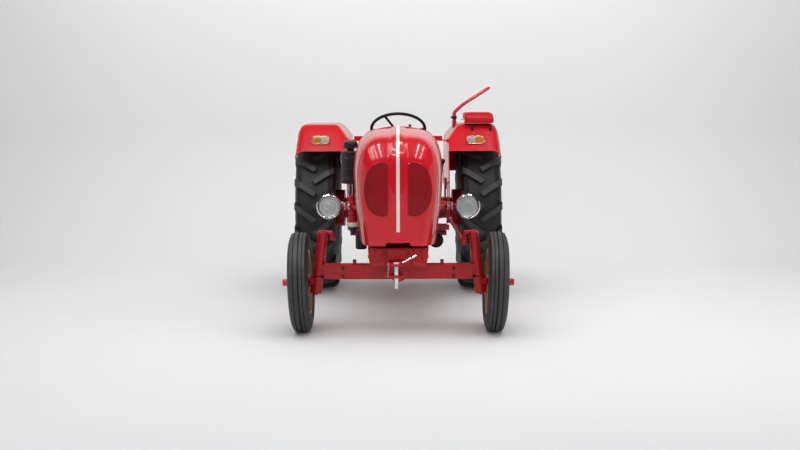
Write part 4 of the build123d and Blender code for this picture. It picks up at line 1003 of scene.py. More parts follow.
def make_front_wheel_trim(look):
    """Wheel nuts, the hub's rings and cap, the valve and the tyre's sidewall rings."""
    place = wheel_place(FRONT_HUB, CAMBER)
    bodies = ("front_wheel_left", "front_wheel_right")
    bm = bmesh.new()
    for i in range(6):
        a = math.radians(60 * i + 15)
        spot = place @ Matrix.Translation(polar(71, a, 30.2))
        lathe(bm, spot, [(0, 13), (1.8, 13), (2.2, 12), (2.2, 0)], 20)
        lathe(bm, spot, [(2, 11.5), (11, 11.5), (14, 9.5), (14.2, 0)], 6)
        lathe(bm, spot, [(14, 5), (19, 5), (20, 4), (20, 0)], 12)
    add_pair("front_wheel_nuts", bm, bodies, "bright_metal", "zinc")
    bm = bmesh.new()
    ring(bm, place, [(40, 43.2), (44, 43.2), (45, 41.5), (40, 41.5)], 40)
    ring(bm, place, [(62.5, 31), (66, 31), (66.4, 29), (62.5, 29)], 40)
    lathe(bm, place, [(60, 0), (60, 30), (84, 29), (88, 27), (88, 24), (118, 23), (123, 20), (124, 0)], 32)
    lathe(bm, place @ Matrix.Translation((0, 0, mm(88))), [(0, 0), (0, 27), (10, 27), (12, 24), (12, 0)], 6)
    add_pair("front_hub_cap", bm, bodies, "red_paint", "red_paint", bevel=0.5)
    bm = valve(place, 176, 100, 14, 14, 22, [4.2, 4.0, 4.8])
    add_pair("front_valve", bm, bodies, "black_paint", "black_plastic")
    bm = sidewall_rings("front_tyre_left", place, (300, 258, 232),
                        ((-1.5, 2.4), (0.5, 1.5), (0.7, 0), (0.5, -1.5), (-1.5, -2.4)), 96)
    add_pair("front_sidewall_rings", bm, bodies, "tyre_rubber", "tyre_rubber")


def make_rear_wheel_trim(look):
    """Wheel nuts, rim bolts, valve and sidewall rings of the driven wheels."""
    place = wheel_place(REAR_HUB)
    bodies = ("rear_wheel_left", "rear_wheel_right")
    bm = bmesh.new()
    for i in range(8):
        a = math.radians(45 * i)
        spot = place @ Matrix.Translation(polar(112, a, 8.2))
        lathe(bm, spot, [(0, 17), (2.4, 17), (3, 15.5), (3, 0)], 24)
        lathe(bm, spot, [(2.8, 15), (14, 15), (18, 12.5), (18.2, 0)], 6)
        lathe(bm, spot, [(18, 7), (25, 7), (26, 5.5), (26, 0)], 12)
    for i in range(8):
        a = math.radians(45 * i + 22.5)
        spot = place @ Matrix.Translation(polar(292, a, 27))
        lathe(bm, spot, [(-6, 13), (8, 13), (11, 11), (11.2, 0)], 6)
    add_pair("rear_wheel_nuts", bm, bodies, "bright_metal", "zinc")
    bm = valve(place, 318, 80, 52, 16, 34, [6, 5.5, 6.5])
    add_pair("rear_valve", bm, bodies, "black_paint", "black_plastic")
    bm = sidewall_rings("rear_tyre_left", place, (398, 424, 508, 540),
                        ((-2.5, 3.5), (0.8, 2.2), (1.1, 0), (0.8, -2.2), (-2.5, -3.5)), 128)
    add_pair("rear_sidewall_rings", bm, bodies, "tyre_rubber", "lug_rubber")


# Front axle and bracket

BRACKET_SKIN = -205.0
BRACKET_PANEL = -219.0
KINGPIN_TOP = Vector((500.0, 0.0, 645.0))
KINGPIN_FOOT = Vector((547.0, 0.0, 283.0))


def make_axle_trim(look):
    """Dark stop bolts, clamp bolts, grease nipples, caps and the bracket's bolts."""
    bm = bmesh.new()
    for x in (-290, 290):
        bolt(bm, at(x, 0, 473), UP, 15, washer=False, square=True, roll=0.78)
    for x in (-367, 366):
        for y in (-45.4, 45.4):
            for z in (380, 430):
                bolt(bm, at(x, y, z), (0, math.copysign(1, y), 0), 10)
    add_piece("axle_bolts", bm, "chassis", "black_paint", "black_enamel", bevel=0.6)

    bm = bmesh.new()
    axis = (KINGPIN_TOP - KINGPIN_FOOT).normalized()
    top = KINGPIN_TOP + axis * 26
    for offset, radius, high in ((0, 24, 3), (3, 16, 5)):
        lathe(bm, aim(at(*(top + axis * offset)), axis),
              [(-1, radius), (high, radius), (high + 1, radius - 2), (high + 1, 0)], 6 if offset else 32)
    nipple(bm, at(*(top + axis * 8)), axis, 3.6)
    foot = KINGPIN_FOOT - axis * 22
    bolt(bm, at(*foot), -axis, 16)
    nipple(bm, at(*(KINGPIN_FOOT + axis * 200 + Vector((0, -34, 0)))), (0, -1, 0.2), 4)
    add_pair("kingpin_fittings", bm, ("knuckle_left", "knuckle_right"), "red_paint", "red_casting", bevel=0.5)

    # Raised panel and ribs of the carrier's front
    bm = bmesh.new()
    panel = Matrix.Translation(at(-7, BRACKET_PANEL, 0)) @ FACE_AHEAD
    front = Matrix.Translation(at(0, BRACKET_SKIN, 0)) @ FACE_AHEAD
    for sign in (-1, 1):
        prism(bm, front, [(sign * 78, 578), (sign * 92, 578), (sign * 98, 500), (sign * 84, 500)], 12)
        prism(bm, front, [(sign * 86, 505), (sign * 168, 478), (sign * 176, 462), (sign * 86, 470)], 12)
        prism(bm, front, [(sign * 150, 578), (sign * 168, 578), (sign * 176, 478), (sign * 162, 478)], 8)
    prism(bm, panel, oblong(58, 508, 576), 6)
    add_piece("carrier_ribs", bm, "chassis", "red_paint", "red_casting", bevel=3.0)

    bm = bmesh.new()
    for x in (-158, 158):
        for z in (487, 560):
            bolt(bm, at(x, BRACKET_SKIN - 0.3, z), AHEAD, 12)
    for x in (-188, 188):
        for y in (-150, -40, 70):
            bolt(bm, at(x, y, 520), (math.copysign(1, x), 0, 0), 12)
    for x in (-60, 46):
        bolt(bm, at(x, BRACKET_PANEL - 0.3, 566), AHEAD, 8)
    add_piece("bracket_bolts", bm, "chassis", "red_paint", "red_casting", bevel=0.5)

    # The pin's retaining chain, hung from the bracket beside the jaw
    bm = bmesh.new()
    for i in range(9):
        spot = at(-64.0 + 2.0 * math.sin(i * 0.7), -330.0, 494.0 - i * 9.5)
        turn = Matrix.Rotation(math.pi / 2 if i % 2 else 0.2, 4, "Z")
        line = [Matrix.Translation(spot) @ turn @ Vector((mm(4.2) * math.cos(a), 0, mm(7.2) * math.sin(a)))
                for a in (2 * math.pi * k / 10 for k in range(10))]
        tube(bm, line, 1.5, segments=6, closed=True)
    tube(bm, smooth_line([at(-56, -330, 490), at(-62, -331, 498), at(-66, -330, 494)], 4), 2.2, segments=8)
    add_piece("pin_chain", bm, "chassis", "bright_metal", "zinc")
    bm = bmesh.new()
    for z, way in ((409.0, DOWN), (496.0, UP)):
        ring(bm, aim(at(-12, -335, z), way), [(0, 24), (2.5, 24), (3, 22), (3, 17), (0, 17)], 32)
    add_piece("jaw_washers", bm, "chassis", "bright_metal", "zinc")


# Fenders

FENDER_WALL = 392.0
FENDER_TOP = 1370.0
FENDER_ROOF = ((1385.0, 1148.0), (1570.0, 1370.0), (2330.0, 1370.0), (2560.0, 1185.0), (2632.0, 930.0))
FENDER_SKIRT = ((2570, 820), (1720, 820), (1560, 600), (1300, 600), (1322, 1000))
FENDER_EDGE = 776.0
FENDER_FLARE = 18.0
FENDER_REAR_REACH = 300.0
FENDER_INNER_Z = 1250.0
FENDER_INNER_SLOPE = 120 / 88
FENDER_ROUND = 60.0
FENDER_FALL = 56.0


def soft_min(a, b, reach):
    """The lower of two heights, rounded where they meet."""
    h = max(reach - abs(a - b), 0.0) / reach
    return min(a, b) - h * h * reach / 4


def fender_edge(y):
    """How far out the fender reaches at a station: it flares towards the front and rear lips."""
    (y0, _), (y1, _), (y2, _) = FENDER_ROOF[:3]
    front = min(max((y1 - y) / (y1 - y0), 0.0), 1.0)
    rear = min(max((y - y2) / FENDER_REAR_REACH, 0.0), 1.0)
    return FENDER_EDGE + FENDER_FLARE * max(front ** 1.3, 0.8 * rear ** 2)


def fender_height(x, y):
    """The skin's height over a point: its front, rear and inner side slope, its outer edge is rounded."""
    (y0, z0), (y1, z1), (y2, z2), (y3, z3), (y4, z4) = FENDER_ROOF
    front = z0 + (y - y0) * (z1 - z0) / (y1 - y0)
    back = z3 + (y - y3) * (z2 - z3) / (y2 - y3)
    low_back = z4 + (y - y4) * (z3 - z4) / (y3 - y4)
    side = soft_min(front, FENDER_TOP, 34.0)
    side = soft_min(side, soft_min(back, low_back, 60.0), 60.0)
    inner = FENDER_INNER_Z + (x - FENDER_WALL) * FENDER_INNER_SLOPE
    edge = fender_edge(y) - x
    fall = FENDER_FALL * (1 - math.sqrt(max(1 - (1 - min(edge / FENDER_ROUND, 1.0)) ** 2, 0.0)))
    return soft_min(side, soft_min(inner, FENDER_TOP, 30.0), 64.0) - fall


def make_fenders(look):
    """Pressed mudguards: the rounded skin, the inner wall and the rolled edge round the lip."""
    stations = sorted({1385, 1570, 2330, 2560, 2632} | set(range(1400, 1560, 20)) | set(range(1548, 1600, 6))
                      | set(range(1620, 2300, 60)) | set(range(2290, 2370, 10)) | set(range(2380, 2632, 14)))
    across = [0, 0.04, 0.08, 0.12, 0.15, 0.175, 0.2, 0.22, 0.235, 0.25, 0.265, 0.28, 0.3, 0.36, 0.45, 0.55,
              0.65, 0.75, 0.83, 0.86, 0.885, 0.91, 0.93, 0.95, 0.965, 0.98, 0.99, 1.0]
    bm = bmesh.new()
    rows = []
    for y in stations:
        edge = fender_edge(y)
        row = [(FENDER_WALL + (edge - FENDER_WALL) * u, y) for u in across]
        rows.append([bm.verts.new(at(x, y, fender_height(x, y))) for x, y in row])
    for a, b in zip(rows, rows[1:]):
        for k in range(len(across) - 1):
            bm.faces.new((a[k], a[k + 1], b[k + 1], b[k]))
    lip = [v.co.copy() for v in rows[0]] + [row[-1].co.copy() for row in rows[1:]] + [
        v.co.copy() for v in reversed(rows[-1][:-1])]
    foot = [bm.verts.new(at(FENDER_WALL, y, z)) for y, z in FENDER_SKIRT]
    bm.faces.new([row[0] for row in rows] + foot)
    bmesh.ops.recalc_face_normals(bm, faces=bm.faces)
    bm.normal_update()
    middle = min(bm.faces, key=lambda f: (f.calc_center_median() - at(600, 2000, FENDER_TOP)).length)
    if middle.normal.z < 0:
        bmesh.ops.reverse_faces(bm, faces=bm.faces)
    for shell, node in zip(add_pair("fender_skin", bm, "chassis", "red_paint", "red_paint", angle=50),
                           ("fender_left", "fender_right")):
        give_wall(shell)
        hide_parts(node)
    bm = bmesh.new()
    tube(bm, lip, 5.0, segments=8)
    skirt = [at(FENDER_WALL, *FENDER_ROOF[0])] + [at(FENDER_WALL, y, z) for y, z in reversed(FENDER_SKIRT)]
    skirt.append(at(FENDER_WALL, *FENDER_ROOF[-1]))
    tube(bm, skirt, 4.0, segments=8)
    add_pair("fender_beads", bm, "chassis", "red_paint", "red_paint")


def make_fender_trim(look):
    """Bolt rows of the fenders' inner walls."""
    bm = bmesh.new()
    for y in (1770, 1940, 2060, 2230, 2420):
        bolt(bm, at(FENDER_WALL - 0.3, y, 868), RIGHT, 10)
    for y, z in ((1440, 900), (1400, 760), (1480, 660)):
        bolt(bm, at(FENDER_WALL - 0.3, y, z), RIGHT, 9)
    add_pair("fender_bolts", bm, "chassis", "red_paint", "red_casting", bevel=0.5)


# Engine

AIR_CAN = (-351.0, 960.0)
AIR_CAN_R = 70.0
HEAD_Y = (280.0, 470.0, 660.0)
CRANK_SIDE = 165.0
HEAD_DECK = 1014.0
ROCKER_TOP = 1070.0
FILLER = (-337.0, 915.0)


def make_engine_trim(look):
    """Air cleaner's bands and clips, the injection pump with its pipes, covers, the filler and bolts."""
    x, y = AIR_CAN
    bm = bmesh.new()
    for z in (966, 1118):
        place = aim(at(x, y, z), UP)
        ring(bm, place, oblong_ring(9, AIR_CAN_R - 0.5, AIR_CAN_R + 1.2), 48)
    place = aim(at(x, y, 1040), UP)
    ring(bm, place, [(-4, AIR_CAN_R - 1), (-3, AIR_CAN_R + 2.4), (3, AIR_CAN_R + 2.4),
                     (4, AIR_CAN_R - 1)], 48)
    place = aim(at(x, y, 1188), UP)
    ring(bm, place, [(-1, 52), (-1, 55.6), (5, 55.6), (5, 52)], 48)
    for i in range(12):
        a = math.radians(30 * i)
        spot = at(x + 25 * math.cos(a), y + 25 * math.sin(a), 1178)
        prism(bm, aim(spot, (math.cos(a), math.sin(a), 0)), oblong(6, -2, 2), 12)
    add_piece("air_cleaner_bands", bm, "chassis", "black_paint", "black_enamel")

    bm = bmesh.new()
    for a in (200, 320):
        way = Vector((math.cos(math.radians(a)), math.sin(math.radians(a)), 0))
        spot = at(x, y, 1112) + way * mm(AIR_CAN_R + 2)
        wire = [spot + way * mm(out) + Vector((0, 0, mm(high)))
                for out, high in ((0, -24), (6, -8), (5, 12), (0, 24))]
        tube(bm, smooth_line(wire, 5), 1.9, segments=8)
        prism(bm, aim(spot + Vector((0, 0, mm(-30))) - way * mm(2.5), way), oblong(7, -8, 8), 4)
    # Two bright bars under the can
    for dx in (-16, 14):
        tube(bm, [at(x + dx, y - 40, 846), at(x + dx, y - 40, 928)], 5.6, segments=12)
        lathe(bm, aim(at(x + dx, y - 40, 846), UP), [(-4, 0), (-4, 9), (3, 9), (3, 5)], 6)
    add_piece("air_cleaner_clips", bm, "chassis", "bright_metal", "zinc")

    # Cylinder heads: studs, rocker cover nuts and injection pipes
    bm = bmesh.new()
    for head in HEAD_Y:
        for dx in (-84, 84):
            for dy in (-72, 72):
                bolt(bm, at(dx, head + dy, HEAD_DECK), UP, 10)
        bolt(bm, at(0, head, ROCKER_TOP), UP, 12)
    for y_bolt in range(190, 860, 84):
        for side in (-1, 1):
            bolt(bm, at(side * CRANK_SIDE, y_bolt, 518), (side, 0, 0), 9)
            bolt(bm, at(side * CRANK_SIDE, y_bolt + 30, 640), (side, 0, 0), 9)
    add_piece("engine_bolts", bm, "chassis", "bright_metal", "zinc")

    bm = bmesh.new()
    for i, head in enumerate(HEAD_Y):
        outlet = 352 + i * 62
        lathe(bm, aim(at(194, outlet, 696), UP), [(0, 0), (0, 11), (16, 11), (16, 7), (26, 7), (26, 0)], 12)
        path = [at(194, outlet, 718), at(196, outlet, 790), at(186, head - 20, 900), at(140, head - 10, 1040),
                at(104, head, 1070)]
        tube(bm, smooth_line(path, 8), 3.4, segments=8)
    add_piece("injection_pipes", bm, "chassis", "bright_metal", "zinc")
    # The pump they start from, with its flange and its governor's end cover
    bm = bmesh.new()
    prism(bm, aim(at(CRANK_SIDE - 1, 420, 640), LEFT), oblong(112, -52, 57), 62)
    prism(bm, aim(at(CRANK_SIDE - 1, 420, 634), LEFT), oblong(126, -62, 40), 12)
    lathe(bm, aim(at(196, 530, 640), BACK), [(0, 0), (0, 40), (22, 40), (30, 32), (34, 10), (34, 0)], 28)
    for y_bolt in (304, 418, 532):
        bolt(bm, at(CRANK_SIDE + 11, y_bolt, 580), LEFT, 8)
    add_piece("injection_pump", bm, "chassis", "cast_grey", "engine_metal", bevel=3.0)

    bm = bmesh.new()
    place = aim(at(-CRANK_SIDE, 300, 600), (-0.6, 0, 1))
    lathe(bm, place, [(-20, 0), (-20, 22), (30, 22), (30, 30), (46, 30), (50, 24), (50, 0)], 24)
    path = [at(-CRANK_SIDE - 2, 560, 520), at(-CRANK_SIDE - 22, 560, 600), at(-CRANK_SIDE - 24, 560, 700)]
    tube(bm, smooth_line(path, 6), 4.5, segments=8)
    tube(bm, [at(-CRANK_SIDE - 24, 560, 700) + Vector((mm(16 * math.cos(a)), 0, mm(16 + 16 * math.sin(a))))
              for a in (2 * math.pi * k / 16 for k in range(16))], 3.4, segments=8, closed=True)
    for side in (-1, 1):
        prism(bm, aim(at(side * CRANK_SIDE, 640, 600), (side, 0, 0)), oblong(70, -64, 64), 6)
    add_piece("engine_covers", bm, "chassis", "red_paint", "red_casting", bevel=2.0)

    # Castings seen between the hood and the right wheel: filler housing, its pale cap and drain cone
    bm = bmesh.new()
    for low, high, r in ((640, 690, 34), (690, 740, 27), (740, 800, 32), (800, 846, 24)):
        long = high - low
        lathe(bm, aim(at(*FILLER, low), UP),
              [(0, 0), (0, r), (4, r + 3), (long - 6, r + 3), (long, r - 3), (long, 0)], 20)
    for z in (665, 770):
        for a in (200, 270, 340):
            way = Vector((math.cos(math.radians(a)), math.sin(math.radians(a)), 0))
            bolt(bm, at(*FILLER, z) + way * mm(31), way, 7)
    tube(bm, [at(-310, 915, 720), at(-170, 900, 720)], 18, segments=14)
    add_piece("filler_housing", bm, "chassis", "red_paint", "red_casting", bevel=1.5)
    bm = bmesh.new()
    lathe(bm, aim(at(*FILLER, 640), DOWN), [(-2, 0), (-2, 43), (4, 46), (26, 46), (32, 40), (32, 0)], 8)
    add_piece("filler_cap", bm, "chassis", "rim_paint", "cream_paint", bevel=2.0)
    bm = bmesh.new()
    lathe(bm, aim(at(*FILLER, 608), DOWN), [(-1, 0), (-1, 33), (14, 31), (40, 16), (54, 14), (54, 0)], 20)
    add_piece("drain_cone", bm, "chassis", "black_paint", "black_enamel")


# Seats

SEAT_VOXEL = 0.006
SEAT_CAP = 0.010
SIDE_SEAT_CAP = 0.008
SEAT_FRAMES = 20
SEAM_STEPS = 120
SEAM_LEAST = 40


def side_form(outline, x0, x1, inset):
    """A closed block from a (station, height) outline across the tractor, drawn in by an inset."""
    count = len(outline)
    cy, cz = sum(p[0] for p in outline) / count, sum(p[1] for p in outline) / count
    bm = bmesh.new()
    rows = []
    for x in (x0 + inset, x1 - inset):
        row = []
        for i, (y, z) in enumerate(outline):
            (py, pz), (ny, nz) = outline[i - 1], outline[(i + 1) % count]
            before, after = Vector((y - py, z - pz)).normalized(), Vector((ny - y, nz - z)).normalized()
            inward = after - before
            if inward.length < 1e-4:
                inward = Vector((-before.y, before.x))
            inward.normalize()
            if inward.dot(Vector((cy - y, cz - z))) < 0:
                inward.negate()
            row.append(bm.verts.new(at(x, y + inward.x * inset, z + inward.y * inset)))
        rows.append(row)
    for i in range(count):
        j = (i + 1) % count
        bm.faces.new((rows[0][i], rows[0][j], rows[1][j], rows[1][i]))
    bm.faces.new(rows[0][::-1])
    bm.faces.new(rows[1])
    bmesh.ops.recalc_face_normals(bm, faces=bm.faces)
    return bm


def held(point, rests):
    """How firmly a point is held, from its distance in metres to the planes it rests on."""
    return max((1.0 - min(max(normal.dot(point - spot), 0.0) / reach, 1.0) for spot, normal, reach in rests),
               default=0.0)


def stuff(obj, rests, cap, pressure):
    """Blows the form up as cloth, held where it rests, with its movement capped."""
    context = bpy.context
    remesh = obj.modifiers.new("remesh", "REMESH")
    remesh.mode, remesh.voxel_size = "VOXEL", SEAT_VOXEL
    bake_mesh(obj)
    mesh = obj.data
    start = [v.co.copy() for v in mesh.vertices]
    pins = obj.vertex_groups.new(name="held")
    for v in mesh.vertices:
        pins.add([v.index], held(v.co, rests), "REPLACE")
    cloth = obj.modifiers.new("stuffing", "CLOTH")
    cloth.settings.vertex_group_mass = "held"
    cloth.settings.use_pressure = True
    cloth.settings.uniform_pressure_force = pressure
    cloth.settings.effector_weights.gravity = 0.0
    cloth.settings.tension_stiffness = cloth.settings.compression_stiffness = 18.0
    cloth.settings.bending_stiffness = 0.6
    cloth.settings.quality = 5
    cloth.collision_settings.use_collision = False
    cloth.point_cache.frame_start, cloth.point_cache.frame_end = 1, SEAT_FRAMES
    for number in range(1, SEAT_FRAMES + 1):
        context.scene.frame_set(number)
    swollen = [v.co.copy() for v in obj.evaluated_get(context.evaluated_depsgraph_get()).data.vertices]
    obj.modifiers.remove(cloth)
    context.scene.frame_set(1)
    for v, old, new in zip(mesh.vertices, start, swollen):
        way = new - old
        if way.length > cap:
            way *= cap / way.length
        v.co = old + way * (1.0 - held(old, rests))
    smooth = obj.modifiers.new("subdivision", "SUBSURF")
    smooth.levels = smooth.render_levels = 1
    bake_mesh(obj)


def bake_mesh(obj):
    """Applies an object's modifiers."""
    depsgraph = bpy.context.evaluated_depsgraph_get()
    done = bpy.data.meshes.new_from_object(obj.evaluated_get(depsgraph))
    obj.modifiers.clear()
    old = obj.data
    obj.data = done
    bpy.data.meshes.remove(old)


def cushion(name, outline, x0, x1, rests, cap, look, body, dents=()):
    """A stuffed cushion from its side outline. Dents are grooves (point, direction, depth, width)."""
    inset = cap * 1000 * 0.75
    bm = side_form(outline, x0, x1, inset)
    mesh = bpy.data.meshes.new(name)
    bm.to_mesh(mesh)
    bm.free()
    obj = bpy.data.objects.new(name, mesh)
    bpy.context.scene.collection.objects.link(obj)
    stuff(obj, rests, cap, look.cushion_pressure)
    # Sewn grooves and a slight unevenness of the filling
    normals = [v.normal.copy() for v in obj.data.vertices]
    for v, normal in zip(obj.data.vertices, normals):
        shift = 0.0
        for point, direction, depth, width in dents:
            distance = abs((v.co - point).dot(direction))
            if distance < width * 3:
                shift -= depth * math.exp(-(distance / width) ** 2)
        shift += noise.noise(v.co * 9.0) * 0.0008
        v.co += normal * shift * (1.0 - held(v.co, rests))
    for polygon in obj.data.polygons:
        polygon.use_smooth = True
    obj.data.materials.clear()
    obj.data.materials.append(finish("seat_vinyl"))
    obj.vertex_groups.clear()
    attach(obj, body)
    return obj


def skin_tree(obj):
    """A search tree over a piece's own mesh."""
    return BVHTree.FromPolygons([v.co for v in obj.data.vertices], [p.vertices for p in obj.data.polygons])


def seam_round(obj, centre, plane_normal, start, steps, lift):
    """A closed line on the cushion's skin where a plane cuts it."""
    tree = skin_tree(obj)
    normal = Vector(plane_normal).normalized()
    first = Vector(start).normalized()
    side = normal.cross(first)
    line = []
    for i in range(steps):
        a = 2 * math.pi * i / steps
        way = first * math.cos(a) + side * math.sin(a)
        hit = tree.ray_cast(Vector(centre) + way * 0.6, -way)
        if hit[0] is not None:
            line.append(hit[0] + hit[1] * lift)
    return line


def seat_dents(y, z):
    """The sewn grooves of the driver's cushions, side by side."""
    return [(at(x, y, z), Vector(LEFT), 0.003, 0.004) for x in (-111, -37, 37, 111)]


def make_seats(look):
    """The stuffed cushions with their piping and seams, and the passenger seat's feet and clamps."""
    pan_way, back_way = Vector((0, 0.065, 1)), Vector((0, -0.975, 0.221))
    base_outline = [(1942, 985), (1942, 1040), (1956, 1049), (2080, 1047), (2196, 1038), (2210, 1030),
                    (2210, 968)]
    base = cushion("driver_cushion", base_outline, -222, 222,
                   [(at(0, 1942, 985), pan_way.normalized(), 0.02)], SEAT_CAP, look, "chassis",
                   seat_dents(2076, 1050))
    back_outline = [(2216, 995), (2281, 1290), (2286, 1300), (2350, 1300), (2351, 1292), (2285, 989)]
    back = cushion("driver_back_cushion", back_outline, -222, 222,
                   [(at(0, 2285, 989), back_way.normalized(), 0.02)], SEAT_CAP, look, "chassis",
                   seat_dents(2260, 1150))
    side_outline = [(1500, 1352), (1500, 1428), (1540, 1440), (1700, 1440), (1845, 1440), (1855, 1430),
                    (1855, 1386), (1700, 1385.3), (1586, 1385.3), (1540, 1352)]
    side = cushion("passenger_cushion", side_outline, 516, 752,
                   [(at(600, 1600, 1385.3), Vector(UP), 0.018)], SIDE_SEAT_CAP, look, "chassis")
    for piece in (base, back):
        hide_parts("seat_cushions")
    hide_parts("side_seat_cushion")

    bm = bmesh.new()
    radius = look.piping * 1000
    for piece, centre, normal in (
            (base, at(0, 2076, 1034), (0, 0.06, 1)), (base, at(0, 2076, 992), pan_way),
            (back, at(0, 2262, 1145), back_way), (back, at(0, 2302, 1148), back_way),
            (side, at(634, 1690, 1428), UP)):
        line = seam_round(piece, centre, normal, LEFT, SEAM_STEPS, mm(radius) * 0.35)
        if len(line) > SEAM_LEAST:
            tube(bm, line, radius * (0.6 if piece is side else 1.0), segments=8, closed=True)
    # The flap's sewn edge on the front of the passenger's cushion
    tree = skin_tree(side)
    corner = [(530 + 40 * (1 - math.cos(a)), 1412 - 40 * math.sin(a))
              for a in (math.pi / 12 * k for k in range(7))]
    foot = [(x, 1372) for x in range(590, 730, 20)]
    flap = [(530, 1422)] + corner + foot + [(738, 1375), (742, 1384), (742, 1422)]
    hits = [tree.ray_cast(at(x, 1460, z), BACK)[0] for x, z in flap]
    tube(bm, [spot for spot in hits if spot is not None], 2.6, segments=8)
    add_piece("seat_piping", bm, "chassis", "seat_vinyl", "seam_thread")

    # The passenger seat's front feet on the fender's slope, and the clamps of its rail
    bm = bmesh.new()
    for x in (580, 722):
        lathe(bm, aim(at(x, 1515, 1299), UP), [(0, 0), (0, 11), (12, 11), (14, 7.5), (53, 7.5), (53, 0)], 20)
    for y in (1740, 1900):
        lathe(bm, aim(at(452, y, 1386), UP),
              [(0, 10.5), (0, 16), (2, 17), (24, 17), (26, 16), (26, 10.5)], 28)
        bolt(bm, at(435.2, y, 1399), RIGHT, 8)
    prism(bm, Matrix.Translation(at(634, 1594, 1356)), oblong(112, -7, 7), 23)
    prism(bm, Matrix.Translation(at(452, 1820, 1393)), oblong(4, -68, 68), 12)
    add_piece("side_seat_clamps", bm, "chassis", "black_paint", "black_enamel", bevel=0.8)


# Cowl, steering wheel and controls

COWL_REAR = 1350.0
WHEEL_CENTRE = (0.0, 1625.0, 1312.0)
WHEEL_TILT = math.radians(35)
RIM_GRIPS = 72
DIAL_MARKS = 13
FOOTPLATE_TOP = 552.0


def wheel_axis():
    return Vector((0, math.sin(WHEEL_TILT), math.cos(WHEEL_TILT)))


def make_cowl_trim(look):
    """Instruments with bezels and needles, switches, bolts and small warning lamps."""
    dials = ((0, 1238, 52), (-118, 1222, 30), (118, 1222, 30))
    bm = bmesh.new()
    for x, z, r in dials:
        ring(bm, aim(at(x, COWL_REAR, z), BACK), [(-1, r), (5, r), (7, r - 2), (7, r - 5), (1, r - 6)], 40)
    for x, z in ((-185, 1150), (-150, 1120), (150, 1120)):
        lathe(bm, aim(at(x, COWL_REAR, z), BACK),
              [(-1, 11), (2, 11), (3, 9), (3, 5), (16, 5), (17, 10), (24, 10), (26, 8), (26, 0)], 20)
    place = aim(at(185, COWL_REAR, 1150), BACK)
    lathe(bm, place, [(-1, 16), (3, 16), (5, 13), (5, 0)], 28)
    prism(bm, place, oblong(2, -11, 11), 24)
    for x in (-252, 252):
        for z in (1040, 1180):
            bolt(bm, at(x, COWL_REAR, z), BACK, 6)
    add_piece("cowl_bezels", bm, "chassis", "bright_metal", "chrome")
    bm = bmesh.new()
    for x, z, r in dials:
        lathe(bm, aim(at(x, COWL_REAR, z), BACK), [(-0.5, r - 4), (1.6, r - 4), (1.6, 0)], 40)
    add_piece("dial_faces", bm, "chassis", "black_paint", "dial_face")
    bm = bmesh.new()
    for x, z, r in dials:
        centre = at(x, COWL_REAR + 2.4, z)
        for i in range(DIAL_MARKS):
            a = math.radians(-120 + i * 20)
            way = Vector((-math.sin(a), 0, math.cos(a)))
            long = 0.16 if i % 3 else 0.26
            tube(bm, [centre + way * mm(r * 0.78), centre + way * mm(r * (0.78 - long))], 0.9, segments=4)
        a = math.radians(-70 if x else -35)
        way = Vector((-math.sin(a), 0, math.cos(a)))
        above = centre + Vector((0, 0.001, 0))
        tube(bm, [above - way * mm(r * 0.16), above + way * mm(r * 0.66)], [1.6, 0.6], segments=6)
        lathe(bm, aim(centre, (0, 1, 0)), [(0, 3.4), (2, 3.4), (2.4, 0)], 14)
    add_piece("dial_marks", bm, "chassis", "black_paint", "black_enamel")
    # Small warning lamps over the switches
    for name, x, material in (("left", 62, "amber_lens"), ("right", -62, "red_lens")):
        bm = bmesh.new()
        lathe(bm, aim(at(x, COWL_REAR, 1160), BACK), [(-0.5, 8), (2, 8), (5, 5), (6, 0)], 18)
        add_piece("warning_lamp_" + name, bm, "chassis", "signal_lens", material)


